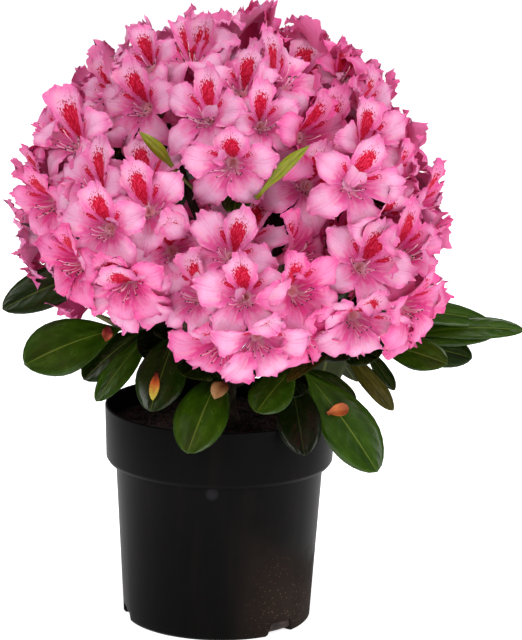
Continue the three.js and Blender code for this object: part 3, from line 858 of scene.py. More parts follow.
class Finish:
    """A material under construction, with one shader and the nodes that feed it."""

    def __init__(self, name):
        self.material = bpy.data.materials.new(name)
        self.material.use_nodes = True
        self.tree = self.material.node_tree
        self.shader = self.tree.nodes["Principled BSDF"]
        self.output = self.tree.nodes["Material Output"]

    def feed(self, socket, value):
        """Puts a number or a colour on a socket, or joins another node's socket to it."""
        if isinstance(value, bpy.types.NodeSocket):
            self.tree.links.new(value, socket)
        else:
            socket.default_value = value

    def node(self, kind, inputs=None, **settings):
        made = self.tree.nodes.new(kind)
        for name, value in settings.items():
            setattr(made, name, value)
        for key, value in (inputs or {}).items():
            self.feed(made.inputs[key], value)
        return made

    def set(self, **values):
        for name, value in values.items():
            self.feed(self.shader.inputs[name.replace("_", " ")], value)

    def object_place(self, scale=(1, 1, 1)):
        where = self.node("ShaderNodeTexCoord").outputs["Object"]
        return self.node("ShaderNodeMapping", {"Vector": where, "Scale": scale}).outputs[0]

    def bake_place(self, scale=(1, 1, 1)):
        where = self.node("ShaderNodeUVMap", uv_map=BAKE_MAP).outputs[0]
        return self.node("ShaderNodeMapping", {"Vector": where, "Scale": scale}).outputs[0]

    def petal_place(self, across, along):
        """Places on the bake map, stretched by so many times across and along each tile."""
        return self.bake_place((TILES * across, TILES * along, 1))

    def tile_shares(self):
        """Shares across and along a tile of the bake map, and the place on the whole of it."""
        whole = self.petal_place(1, 1)
        tile = self.node("ShaderNodeVectorMath", {0: whole}, operation="FRACTION").outputs[0]
        across, along, _ = self.split(tile)
        return across, along, whole

    def grain(self, where, scale, detail=3.0, roughness=0.5):
        inputs = {"Vector": where, "Scale": scale, "Detail": detail, "Roughness": roughness}
        return self.node("ShaderNodeTexNoise", inputs).outputs["Fac"]

    def cells(self, where, scale):
        return self.node("ShaderNodeTexVoronoi", {"Vector": where, "Scale": scale}).outputs["Distance"]

    def maths(self, kind, a, b=0.0, clamp=False):
        return self.node("ShaderNodeMath", {0: a, 1: b}, operation=kind, use_clamp=clamp).outputs[0]

    def plus(self, a, b, clamp=False):
        return self.maths("ADD", a, b, clamp)

    def minus(self, a, b):
        return self.maths("SUBTRACT", a, b)

    def times(self, a, b):
        return self.maths("MULTIPLY", a, b)

    def between(self, value, low, high, start=0.0, end=1.0):
        """A value spread from a range to another one, smoothly and held at the ends."""
        inputs = {"Value": value, "From Min": low, "From Max": high, "To Min": start, "To Max": end}
        return self.node("ShaderNodeMapRange", inputs, interpolation_type="SMOOTHSTEP").outputs[0]

    def ramp(self, value, *stops):
        made = self.node("ShaderNodeValToRGB", {"Fac": value})
        marks = made.color_ramp.elements
        while len(marks) < len(stops):
            marks.new(0.5)
        for mark, (position, colour) in zip(marks, stops):
            mark.position = position
            mark.color = colour
        return made.outputs["Color"]

    def mix(self, share, a, b):
        made = self.node("ShaderNodeMix", data_type="RGBA")
        self.feed(made.inputs["Factor"], share)
        self.feed(made.inputs[6], a)
        self.feed(made.inputs[7], b)
        return made.outputs[2]

    def split(self, vector):
        made = self.node("ShaderNodeSeparateXYZ", {0: vector})
        return made.outputs[0], made.outputs[1], made.outputs[2]

    def join(self, x, y, z=0.0):
        return self.node("ShaderNodeCombineXYZ", {0: x, 1: y, 2: z}).outputs[0]

    def relief(self, height, depth, strength=1.0):
        inputs = {"Height": height, "Distance": depth * MM, "Strength": strength}
        self.set(Normal=self.node("ShaderNodeBump", inputs).outputs[0])

    def let_light_through(self, share, colour):
        """Mixes in the light that a thin petal lets through."""
        through = self.node("ShaderNodeBsdfTranslucent", {"Color": colour}).outputs[0]
        both = self.node("ShaderNodeMixShader", {0: share, 1: self.shader.outputs[0], 2: through})
        self.tree.links.new(both.outputs[0], self.output.inputs["Surface"])


def dusty_black_plastic():
    """Black pot plastic, satin, with dry dust low on one side, faint streaks and one pale spot."""
    finish = Finish("dusty_black_plastic")
    where = finish.object_place()
    x, _, z = finish.split(where)
    streak = finish.grain(finish.object_place((1, 1, 0.12)), 70, 4)
    cloud = finish.grain(where, 16, 5, 0.6)
    speck = finish.cells(where, 320)
    low = finish.between(z, *POT_DUST_HEIGHTS)
    right = finish.between(x, *POT_DUST_SIDES)
    side = finish.times(low, right)
    patch = finish.times(side, finish.between(cloud, 0.3, 0.62))
    spread = finish.times(finish.between(streak, 0.45, 0.8), 0.1)
    dust = finish.plus(finish.times(patch, 0.9), spread, clamp=True)
    clean = finish.ramp(cloud, (0.3, tint(5, 5, 5)), (0.7, tint(9, 8, 8)))
    dusted = finish.mix(dust, clean, tint(40, 31, 26))
    flecks = finish.times(finish.between(speck, 0.2, 0.1), finish.maths("POWER", patch, 2.0))
    off_spot = finish.node("ShaderNodeVectorMath", {0: where, 1: POT_SPOT}, operation="DISTANCE")
    spot = finish.between(off_spot.outputs["Value"], *POT_SPOT_RADII, 0, POT_SPOT_STRENGTH)
    flecked = finish.mix(flecks, dusted, tint(100, 82, 64))
    finish.set(Base_Color=finish.mix(spot, flecked, tint(62, 60, 64)))
    finish.set(Roughness=finish.between(dust, 0.0, 0.6, 0.42, 0.72), Specular_IOR_Level=0.035)
    finish.relief(finish.plus(finish.grain(where, 420, 2), dust), 0.12, 0.5)
    return finish.material


def crumbly_compost():
    """Dark moist mix with paler clods and fibres."""
    finish = Finish("crumbly_compost")
    where = finish.object_place()
    clods = finish.grain(where, 130, 6, 0.65)
    fibres = finish.grain(finish.object_place((1, 0.35, 1)), 420, 3)
    earth = finish.ramp(
        clods,
        (0.28, tint(14, 9, 8)),
        (0.5, tint(38, 23, 18)),
        (0.72, tint(74, 46, 34)),
    )
    finish.set(Base_Color=finish.mix(finish.between(fibres, 0.66, 0.8), earth, tint(112, 76, 54)))
    finish.set(Roughness=finish.between(clods, 0.3, 0.7, 0.98, 0.78))
    finish.relief(finish.plus(clods, fibres), 1.6)
    return finish.material


def fissured_bark():
    """Brown bark in long plates, with a little moss, its tints deepened as painted shade of the crown."""
    finish = Finish("fissured_bark")
    where = finish.object_place((1, 1, 0.35))
    plates = finish.grain(where, 190, 5, 0.62)
    moss = finish.grain(finish.object_place(), 46, 3)
    # The bark's own brown, made darker as painted shade for boughs under the crown
    bark = finish.ramp(
        plates,
        (0.3, tint(28, 20, 14)),
        (0.52, tint(62, 47, 34)),
        (0.75, tint(102, 82, 62)),
    )
    finish.set(Base_Color=finish.mix(finish.between(moss, 0.58, 0.75, 0, 0.55), bark, tint(86, 90, 48)))
    finish.set(Roughness=finish.between(plates, 0.3, 0.7, 0.95, 0.7))
    finish.relief(plates, 1.1)
    return finish.material


def tinted_stalk(name):
    """Stalks, threads and their tips, shaded from foot to tip with a blush of the foot's tint."""
    foot, tip = tints(STALK_TINTS[name])
    finish = Finish(name)
    where = finish.bake_place()
    share = finish.split(where)[1]
    blush = finish.grain(finish.bake_place((6, 14, 1)), 1, 3)
    plain = finish.ramp(share, (0.1, foot), (0.9, tip))
    finish.set(Base_Color=finish.mix(finish.between(blush, 0.45, 0.75, 0, 0.6), plain, foot))
    finish.set(Roughness=finish.between(blush, 0.3, 0.7, 0.45, 0.65))
    finish.relief(blush, 0.3)
    return finish.material


def petal_silk(name, shades, blotch=None):
    """The front of a lobe: pale pink, deeper towards its crimped margin, veined and streaked, with painted
    glints on its rim.
    """
    throat, heart, face, margin = shades
    finish = Finish(name)
    across, along, whole = finish.tile_shares()
    from_middle = finish.minus(across, 0.5)
    off_middle = finish.maths("ABSOLUTE", from_middle)
    cloud = finish.grain(whole, 5, 3)
    fan = finish.maths("ARCTAN2", from_middle, finish.plus(along, 0.22))
    veins = finish.grain(finish.join(finish.times(fan, 34.0), along, cloud), 1, 2)
    near_side = finish.between(off_middle, 0.22, 0.5)
    near_rim = finish.maths("MAXIMUM", near_side, finish.between(along, 0.68, 1.0))
    drift = finish.times(finish.minus(cloud, 0.5), 0.5)
    depth = finish.plus(along, drift, clamp=True)
    flesh = finish.ramp(depth, (0.0, throat), (0.1, heart), (0.24, heart), (0.56, face))
    rimmed = finish.mix(near_rim, flesh, margin)
    colour = finish.mix(finish.between(veins, 0.5, 0.75, 0, 0.55), rimmed, heart)
    streaks = finish.grain(finish.petal_place(11, 2.2), 1, 3)
    colour = finish.mix(finish.between(streaks, 0.52, 0.68, 0, 0.5), colour, throat)
    # Painted highlight: glints of the pale throat tint dotted along the rim
    at_side = finish.between(off_middle, 0.4, 0.48)
    at_rim = finish.maths("MAXIMUM", at_side, finish.between(along, 0.9, 0.97))
    painted_glint = finish.between(finish.grain(finish.petal_place(16, 16), 1, 2), 0.5, 0.62, 0, 0.7)
    colour = finish.mix(finish.times(at_rim, painted_glint), colour, throat)
    if blotch:
        colour = blotched(finish, colour, across, along, blotch)
    finish.set(Base_Color=colour, Specular_IOR_Level=0.16)
    finish.set(Roughness=finish.between(veins, 0.3, 0.75, 0.46, 0.66))
    crinkle = finish.grain(finish.petal_place(9, 16), 1, 4, 0.6)
    finish.relief(finish.plus(crinkle, veins), 1.2, 0.8)
    finish.let_light_through(PETAL_GLOW, colour)
    return finish.material


def blotched(finish, colour, across, along, blotch):
    """A petal's colour with red flecks on it, crowded at the foot of the blotch and loose at its tip."""
    middle, centre, half_width, half_length, density = blotch
    width = finish.maths("DIVIDE", finish.minus(across, middle), half_width)
    length = finish.maths("DIVIDE", finish.minus(along, centre), half_length)
    far = finish.node("ShaderNodeVectorMath", {0: finish.join(width, length)}, operation="LENGTH")
    inside = finish.minus(1.0, far.outputs["Value"])
    crowding = finish.between(along, 0.15, 0.8, density, BLOTCH_TIP_CROWDING)
    room = finish.plus(finish.times(inside, crowding), 0.06)
    cells = finish.cells(finish.petal_place(36, 19), 1)
    fleck = finish.between(finish.minus(room, cells), -0.06, 0.08)
    red = finish.ramp(
        cells,
        (0.1, tint(172, 2, 36)),
        (0.45, tint(212, 14, 56)),
        (0.8, tint(238, 56, 100)),
    )
    return finish.mix(fleck, colour, red)


def petal_back(name, back, vein):
    """The back of a lobe: plain pink with deeper veins."""
    finish = Finish(name)
    veins = finish.grain(finish.petal_place(30, 4), 1, 3)
    colour = finish.mix(finish.between(veins, 0.4, 0.8, 0, 0.6), back, vein)
    finish.set(Base_Color=colour, Specular_IOR_Level=0.14)
    finish.set(Roughness=finish.between(veins, 0.3, 0.75, 0.5, 0.7))
    finish.relief(veins, 1.0, 0.8)
    finish.let_light_through(PETAL_GLOW, colour)
    return finish.material


def flower_tube(name, outside, inside):
    """The tube: as pink outside as the backs of its lobes, paler inside, with a warm floor."""
    finish = Finish(name)
    _, along, whole = finish.tile_shares()
    cloud = finish.grain(whole, 9, 3)
    floor = tint(*THROAT_FLOOR_TINT)
    colour = finish.ramp(along, (0.0, outside), (0.6, outside), (0.72, inside), (1.0, floor))
    finish.set(Base_Color=colour, Roughness=finish.between(cloud, 0.3, 0.7, 0.5, 0.65))
    finish.relief(cloud, 0.5)
    finish.let_light_through(TUBE_GLOW, colour)
    return finish.material


def leaf_leather(name, dark, light, rib):
    """The upper face of a leaf: leathery green with a pale midrib and faint veins."""
    finish = Finish(name)
    across, along, _ = finish.split(finish.bake_place((2, 1, 1)))
    off_rib = finish.maths("ABSOLUTE", finish.minus(across, 0.5))
    slope = finish.minus(finish.times(along, 9.0), finish.times(off_rib, 5.0))
    wave = finish.maths("ABSOLUTE", finish.minus(finish.maths("FRACT", slope), 0.5))
    vein = finish.between(wave, 0.07, 0.0)
    cloud = finish.grain(finish.bake_place((8, 4, 1)), 1, 5, 0.6)
    pores = finish.grain(finish.bake_place((240, 120, 1)), 1, 2)
    green = finish.ramp(cloud, (0.3, dark), (0.72, light))
    veined = finish.mix(finish.times(vein, 0.05), green, rib)
    ribbed = finish.between(off_rib, 0.018, 0.006)
    finish.set(Base_Color=finish.mix(finish.times(ribbed, 0.65), veined, rib))
    finish.set(Roughness=finish.between(cloud, 0.3, 0.7, 0.18, 0.3), Specular_IOR_Level=0.24)
    quilt = finish.times(finish.between(wave, 0.0, 0.4), 0.5)
    finish.relief(finish.plus(finish.times(pores, 0.1), quilt), 0.3, 0.5)
    return finish.material


def leaf_underside():
    """The lower face of a leaf: dull green felt with a broad pale rib."""
    finish = Finish("leaf_underside")
    across = finish.split(finish.bake_place((2, 1, 1)))[0]
    off_rib = finish.maths("ABSOLUTE", finish.minus(across, 1.5))
    cloud = finish.grain(finish.bake_place((10, 5, 1)), 1, 4)
    felt = finish.ramp(cloud, (0.3, tint(30, 38, 8)), (0.7, tint(48, 56, 16)))
    ribbed = finish.between(off_rib, 0.04, 0.015)
    finish.set(Base_Color=finish.mix(ribbed, felt, tint(82, 90, 36)), Specular_IOR_Level=0.12)
    finish.set(Roughness=finish.between(cloud, 0.3, 0.7, 0.55, 0.72))
    finish.relief(cloud, 0.4)
    return finish.material


def dry_scale(name, foot, middle, tip):
    """A papery bud scale, in tints that run along it, with dark fibres."""
    finish = Finish(f"{name}_bud_scale")
    where = finish.bake_place((6, 22, 1))
    fibres = finish.grain(finish.bake_place((60, 6, 1)), 1, 3)
    along = finish.split(finish.bake_place())[1]
    share = finish.plus(along, finish.between(finish.grain(where, 1, 2), 0.3, 0.7, -0.12, 0.12))
    papery = finish.ramp(share, (0.1, foot), (0.45, middle), (0.85, tip))
    finish.set(Base_Color=finish.mix(finish.between(fibres, 0.5, 0.75, 0, 0.5), papery, foot))
    finish.set(Roughness=finish.between(fibres, 0.3, 0.7, 0.4, 0.6))
    finish.relief(fibres, 0.5)
    return finish.material


# Pot and compost

def spun(outline, steps, first_angle=0.0):
    """An outline of radius and height pairs turned once round the pot's axis."""
    bm = bmesh.new()
    facing = Matrix.Rotation(first_angle, 3, "Z")
    points = [bm.verts.new(facing @ Vector((radius * MM, 0, height * MM))) for radius, height in outline]
    edges = [bm.edges.new(pair) for pair in zip(points, points[1:])]
    bmesh.ops.spin(
        bm,
        geom=points + edges,
        cent=(0, 0, 0),
        axis=(0, 0, 1),
        angle=math.tau,
        steps=steps,
        use_merge=True,
    )
    bmesh.ops.remove_doubles(bm, verts=bm.verts, dist=WELD * MM)
    bmesh.ops.recalc_face_normals(bm, faces=bm.faces)
    return bm


def radius_on(lower, upper, height):
    """The radius at a height on the straight wall between two points of an outline."""
    return lerp(lower[0], upper[0], (height - lower[1]) / (upper[1] - lower[1]))


def piece_of(bm, name, materials):
    """A finished bmesh as a smooth piece."""
    mesh = bpy.data.meshes.new(name)
    bm.to_mesh(mesh)
    bm.free()
    mesh.shade_smooth()
    return placed(mesh, materials)


def make_pot():
    """A tub with a deep collar, spun round its axis, with drain notches cut through its foot."""
    notch_radius = BASE_RADIUS - NOTCH_DEPTH
    outline = [
        (0, 0),
        (notch_radius, 0),
        (BASE_RADIUS - BASE_CHAMFER, 0),
        BODY_FOOT,
        (radius_on(BODY_FOOT, BODY_TOP, NOTCH_HEIGHT), NOTCH_HEIGHT),
        BODY_TOP,
        (COLLAR_FOOT_RADIUS - COLLAR_LIP, COLLAR_FOOT),
        (COLLAR_FOOT_RADIUS, COLLAR_FOOT + COLLAR_FLARE_HEIGHT),
        (RIM_RADIUS, POT_HEIGHT - RIM_BEVEL),
        (RIM_RADIUS - RIM_BEVEL, POT_HEIGHT),
        INNER_RIM,
        INNER_COLLAR,
        INNER_BODY,
        (radius_on(INNER_FOOT, INNER_BODY, NOTCH_HEIGHT), NOTCH_HEIGHT),
        INNER_FOOT,
        (INNER_FOOT[0] - FLOOR_FILLET, POT_FLOOR),
        (notch_radius, POT_FLOOR),
        (0, POT_FLOOR),
    ]
    first_angle = math.radians(NOTCH_FIRST_BEARING - 90)
    bm = spun(outline, POT_STEPS, first_angle)
    for number in range(NOTCH_COUNT):
        cut_notch(bm, first_angle + math.tau * number / NOTCH_COUNT, notch_radius)
    bmesh.ops.recalc_face_normals(bm, faces=bm.faces)
    pot = piece_of(bm, "nursery_pot", [dusty_black_plastic()])
    rounding = pot.modifiers.new("rounded_edges", "BEVEL")
    rounding.width = POT_EDGE_ROUND * MM
    rounding.segments = POT_EDGE_SEGMENTS
    rounding.limit_method = "ANGLE"
    rounding.angle_limit = math.radians(POT_EDGE_ANGLE)
    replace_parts(pot, "pot")


def turn_from(angle, point):
    """How far a point lies round the axis from an angle, from half a turn back to half a turn on."""
    return (math.atan2(point.y, point.x) - angle + math.pi) % math.tau - math.pi


def cut_notch(bm, angle, notch_radius):
    """Takes the wall and the floor away over a few steps and closes the cut with slanting cheeks."""
    half = NOTCH_HALF_STEPS * math.tau / POT_STEPS

    def in_notch(face):
        middle = face.calc_center_median()
        outside = math.hypot(middle.x, middle.y) > notch_radius * MM
        return outside and middle.z < NOTCH_HEIGHT * MM and abs(turn_from(angle, middle)) < half

    gone = [face for face in bm.faces if in_notch(face)]
    bmesh.ops.delete(bm, geom=gone, context="FACES")
    cut = [edge for edge in bm.edges if edge.is_boundary]
    for vertex in {vertex for edge in cut for vertex in edge.verts}:
        turn = turn_from(angle, vertex.co)
        if abs(abs(turn) - half) < NOTCH_CHEEK_SLACK:
            rise = vertex.co.z / (NOTCH_HEIGHT * MM)
            wanted = math.radians(lerp(NOTCH_FOOT_HALF_ANGLE, NOTCH_TOP_HALF_ANGLE, rise))
            vertex.co.rotate(Matrix.Rotation(math.copysign(wanted, turn) - turn, 3, "Z"))
    bmesh.ops.bridge_loops(bm, edges=cut)


def make_compost():
    """Potting mix up to below the rim, heaped a little round the trunk, lumpy on top."""
    gap = SOIL_CLEARANCE
    edge = SOIL_LEVEL - SOIL_EDGE_DROP
    edge_radius = radius_on(INNER_COLLAR, INNER_RIM, edge) - gap
    foot_radius = INNER_FOOT[0] - FLOOR_FILLET - gap
    outline = [
        (0, POT_FLOOR + gap),
        (foot_radius, POT_FLOOR + gap),
        (INNER_FOOT[0] - gap, INNER_FOOT[1] + gap),
        (INNER_BODY[0] - gap, INNER_BODY[1] + gap),
        (INNER_COLLAR[0] - gap, INNER_COLLAR[1] + gap),
    ]
    for ring in range(SOIL_RINGS):
        radius = edge_radius * (1 - ring / SOIL_RINGS)
        outline.append((radius, soil_height(radius, edge_radius)))
    outline.append((0, SOIL_LEVEL))
    bm = spun(outline, SOIL_STEPS)
    for vertex in bm.verts:
        radius = math.hypot(vertex.co.x, vertex.co.y)
        if vertex.co.z > (edge - SOIL_MARGIN) * MM and radius < (edge_radius - SOIL_MARGIN) * MM:
            lump = noise.fractal(vertex.co * SOIL_LUMP_GRAIN, *SOIL_LUMP_FRACTAL)
            vertex.co.z += min(lump, SOIL_LUMP_CREST) * SOIL_LUMP * MM
    bmesh.ops.recalc_face_normals(bm, faces=bm.faces)
    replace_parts(piece_of(bm, "compost_bed", [crumbly_compost()]), "compost")


def soil_height(radius, edge_radius):
    """The mix lies level round the trunk and falls from there to its edge."""
    fall = max(0.0, (radius - SOIL_LEVEL_RADIUS) / (edge_radius - SOIL_LEVEL_RADIUS))
    return SOIL_LEVEL - SOIL_EDGE_DROP * fall


def make_crumbs():
    """Loose crumbs of mix over the bed."""
    rng = np.random.default_rng(CRUMB_SEED)
    edge_radius = radius_on(INNER_COLLAR, INNER_RIM, SOIL_LEVEL - SOIL_EDGE_DROP) - CRUMB_EDGE_GAP
    radius = edge_radius * np.sqrt(rng.uniform(*CRUMB_AREA, CRUMBS))
    turn = rng.uniform(0, math.tau, CRUMBS)
    height = np.array([soil_height(one, edge_radius) for one in radius])
    middle = np.stack([radius * np.cos(turn), radius * np.sin(turn), height + CRUMB_LIFT], axis=1)
    size = rng.uniform(*CRUMB_SIZES, (CRUMBS, 1, 1)) * rng.uniform(*CRUMB_STRETCH, (CRUMBS, 1, 3))
    corners = NUGGET + rng.normal(0, CRUMB_SCATTER, (CRUMBS, *NUGGET.shape))
    faces = repeated(NUGGET_FACES, CRUMBS, len(NUGGET))
    sheaf = Sheaf("compost_crumbs")
    sheaf.add(middle[:, None] + corners * size, BAKE_MAP_MIDDLE, (faces, 0))
    sheaf.piece([crumbly_compost()], "soil")


# Limbs

def make_limbs():
    """Trunk and boughs, drawn out step by step from a round foot, with ridges in their bark."""
    bm = bmesh.new()
    for limb in limbs.values():
        draw_limb(bm, limb)
    bmesh.ops.recalc_face_normals(bm, faces=bm.faces)
    bm.normal_update()
    for vertex in bm.verts:
        ridge = noise.noise(vertex.co * Vector(BARK_GRAIN))
        vertex.co += vertex.normal * ridge * BARK_RELIEF * MM
    piece = piece_of(bm, "trunk_and_boughs", [fissured_bark()])
    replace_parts(piece, "trunk", *[mass.bough_node for mass in trusses + shoots])


def draw_limb(bm, limb):
    """A round foot, drawn out along the limb, turned and narrowed at each step."""
    way = Vector(limb.way_at(0))
    middle = Vector(limb.at(0)) * MM
    turn = Vector((0, 0, 1)).rotation_difference(way).to_matrix().to_4x4()
    ring = bmesh.ops.create_circle(
        bm,
        cap_ends=True,
        radius=limb.radius_at(0) * MM,
        segments=LIMB_SIDES,
        matrix=Matrix.Translation(middle) @ turn,
    )["verts"]
    end = ring[0].link_faces[0]
    for step in range(1, LIMB_STEPS + 1):
        share = step / LIMB_STEPS
        grown = bmesh.ops.extrude_face_region(bm, geom=[end])["geom"]
        end = next(item for item in grown if isinstance(item, bmesh.types.BMFace))
        ring = list(end.verts)
        next_way = Vector(limb.way_at(share))
        next_middle = Vector(limb.at(share)) * MM
        swell = limb.radius_at(share) / limb.radius_at(share - 1 / LIMB_STEPS)
        bend = way.rotation_difference(next_way).to_matrix()
        bmesh.ops.rotate(bm, cent=middle, matrix=bend, verts=ring)
        bmesh.ops.scale(bm, vec=(swell,) * 3, space=Matrix.Translation(-middle), verts=ring)
        bmesh.ops.translate(bm, vec=next_middle - middle, verts=ring)
        way = next_way
        middle = next_middle


# Stems, flower stalks, petals, stamens

def make_stalks():
    """The stems of trusses and shoots, the twigs of the young leaves and the stalks of the flowers."""
    sheaf = Sheaf("stems_and_stalks")
    radii = lerp(STEM_RADIUS, STEM_TIP_RADIUS, STALK_SHARES[:, 0])
    for mass in trusses + shoots:
        length = TRUSS_STEM if mass.flowering else SHOOT_STEM
        path = mass.foot + mass.facing * (CLEARANCE + STALK_SHARES * (length - CLEARANCE))
        add_stalks(sheaf, path[None], radii, STEM_SIDES)
    for limb, share, foot, _ in YOUNG_LEAVES.values():
        path = lerp(limbs[limb].at(share), np.array(foot), STALK_SHARES)
        add_stalks(sheaf, path[None], TWIG_RADIUS, TWIG_SIDES)
    for flower in flowers:
        start = flower.mass.heart - flower.mass.facing * PEDICEL_SINK
        end = flower.throat + flower.way * TUBE_RISE[1] * flower.size
        middle = (start + end) / 2 + flower.mass.facing * PEDICEL_BOW
        path = bent_path(start, middle, end)
        add_stalks(sheaf, path[None], PEDICEL_RADIUS, PEDICEL_SIDES, slot=1)
    sheaf.piece([tinted_stalk("woody_stem"), tinted_stalk("flower_stalk")], "leaf")


def tile_place(tile, across, along):
    """Shares across and along a lobe, as a place in its tile of the bake map, a little in from its edge."""
    shares = lerp(TILE_INSET, 1 - TILE_INSET, np.stack([across, along], axis=-1))
    return (np.array(tile) + shares) / TILES


class LobePlan:
    """Places on a lobe, across from -1 to 1 and along from 0 to 1: a sheet, and finer teeth round it."""

    def __init__(self):
        wide = LOBE_COLUMNS + 1
        sheet = sheet_places(np.linspace(-1, 1, wide), np.linspace(0, 1, LOBE_ROWS + 1))
        up_one_side = np.arange(LOBE_ROWS) * wide
        over_the_tip = LOBE_ROWS * wide + np.arange(LOBE_COLUMNS)
        down_the_other = np.arange(LOBE_ROWS, -1, -1) * wide + LOBE_COLUMNS
        border = np.concatenate([up_one_side, over_the_tip, down_the_other])
        steps = len(border) - 1
        stations = np.arange(steps * FRILL_STEPS + 1) / FRILL_STEPS
        margin = [np.interp(stations, np.arange(steps + 1), sheet[border, axis]) for axis in (0, 1)]
        self.places = np.concatenate([sheet * LOBE_SHEET, np.stack(margin, axis=1)])
        self.teeth = np.concatenate([np.zeros(len(sheet)), (-1.0) ** np.arange(len(stations))])
        self.sheet_size = len(sheet)
        tooth = len(sheet) + np.arange(steps) * FRILL_STEPS
        here = border[:-1]
        after = border[1:]
        frill = np.stack([here, tooth + 1, tooth + 2, after], axis=1)
        near_corners = np.stack([here, tooth, tooth + 1], axis=1)
        far_corners = np.stack([after, tooth + 2, tooth + 3], axis=1)
        self.quads = np.concatenate([grid_faces(LOBE_ROWS, LOBE_COLUMNS), frill])
        self.triangles = np.concatenate([near_corners, far_corners])


LOBE_PLAN = LobePlan()


def ripple(rng, margin, depths, paces):
    """A wave along a lobe's margin, of random depth, pace and start."""
    return rng.uniform(*depths) * np.sin(margin * rng.uniform(*paces) + rng.uniform(0, math.tau))


def lobe_points(flower, lobe, rng):
    """The front and the back of a creased lobe with a crimped margin."""
    across, along = LOBE_PLAN.places.T
    off_middle = np.abs(across)
    free = np.clip((along - LOBE_FREE_FROM) / LOBE_FREE_SPAN, 0, 1)
    edge = np.maximum(off_middle, along**2)
    margin = np.arctan2(across, along * MARGIN_STRETCH + MARGIN_FOOT)
    broad = ripple(rng, margin, *BROAD_RIPPLE)
    fine = ripple(rng, margin, *FINE_RIPPLE)
    crimp = ripple(rng, margin, *CRIMP)
    tooth_sizes = np.clip(rng.normal(*FRILL_SPREAD, len(across)), *FRILL_LIMITS)
    tooth = LOBE_PLAN.teeth * tooth_sizes * FRILL_DEPTH
    groove = np.exp(-((across / LOBE_CREASE_WIDTH) ** 2)) * (1 - along**4)
    crease = LOBE_CREASE * rng.uniform(*LOBE_CREASE_RANGE) * groove
    puff = LOBE_PUFF * rng.uniform(*LOBE_PUFF_RANGE) * 4 * off_middle * (1 - off_middle)
    keel = rng.uniform(*LOBE_KEEL[lobe]) * across**2 + puff
    tilt = rng.uniform(*LOBE_TILT) * across
    fall = (LOBE_FALL[lobe] + rng.uniform(*LOBE_FALL_SWAY)) * along**2
    crest = LOBE_RISE * (1 - (1 - along / LOBE_CREST) ** 2)
    ruffle = (broad + fine) * edge**2 + crimp * edge**4 + tooth
    rise = crest - fall + free * (keel + tilt - crease + ruffle)
    reach = lerp(*LOBE_REACH, along) * rng.uniform(*LOBE_REACH_RANGE)
    reach = reach - LOBE_CORNER_ROUND * across**2 * along**6
    half_width = np.interp(along, LOBE_SHARES, LOBE_HALF_WIDTHS) * rng.uniform(*LOBE_WIDTH_RANGE)
    splay = tooth * rng.uniform(*FRILL_SPLAY, len(across)) + CRIMP_SPLAY * crimp * edge**4
    half_width = half_width + free * splay
    middle = math.tau * lobe / LOBES + rng.uniform(*LOBE_SWING) * free
    angle = middle + across * half_width / reach
    reach = reach + free * np.where(along > LOBE_TIP_SHARE, (tooth + crimp) * CRIMP_SPLAY, 0)
    outline = np.outer(rise, flower.way) + flower.round_way(angle) * reach[:, None]
    front = flower.throat + outline * flower.size
    sheet = front[: LOBE_PLAN.sheet_size].reshape(LOBE_ROWS + 1, LOBE_COLUMNS + 1, 3)
    outward = unit(np.cross(np.gradient(sheet, axis=0), np.gradient(sheet, axis=1)))
    back = front.copy()
    back[: LOBE_PLAN.sheet_size] -= outward.reshape(-1, 3) * LOBE_THICKNESS
    return np.concatenate([front, back])


def tube_points(flower):
    """The tube from its stalk up to the throat, and the floor of the throat inside it."""
    round_way = flower.round_way(np.linspace(0, math.tau, TUBE_COLUMNS + 1))
    reach = np.array(TUBE_REACH)[:, None, None]
    rise = np.array(TUBE_RISE)[:, None, None]
    return flower.throat + (flower.way * rise + round_way * reach) * flower.size


def lobe_fronts(flower, across, along):
    """Each lobe's places on the bake map and its finish's slot, from the upper lobe round."""
    upper = UPPER_TILES[flower.number % len(UPPER_TILES)]
    near, far = LOWER_TILES
    return (
        (tile_place(upper, across, along), UPPER_SLOT),
        (tile_place(SIDE_TILE, across, along), SIDE_SLOT),
        (tile_place(near, across, along), LOWER_SLOT),
        (tile_place(far, across, along), LOWER_SLOT),
        (tile_place(SIDE_TILE, 1 - across, along), SIDE_SLOT),
    )


def lit_or_shaded_tint(flower, rng):
    """Painted light and shade: pale for a flower that faces the light, rosy or deep for one turned from it.
    """
    facing = flower.way @ unit(np.array(LIGHT_WAY)) + rng.normal(0, FACING_SCATTER)
    if facing > PALE_FACING:
        return "pale"
    return "rosy" if facing > ROSY_FACING else "deep"


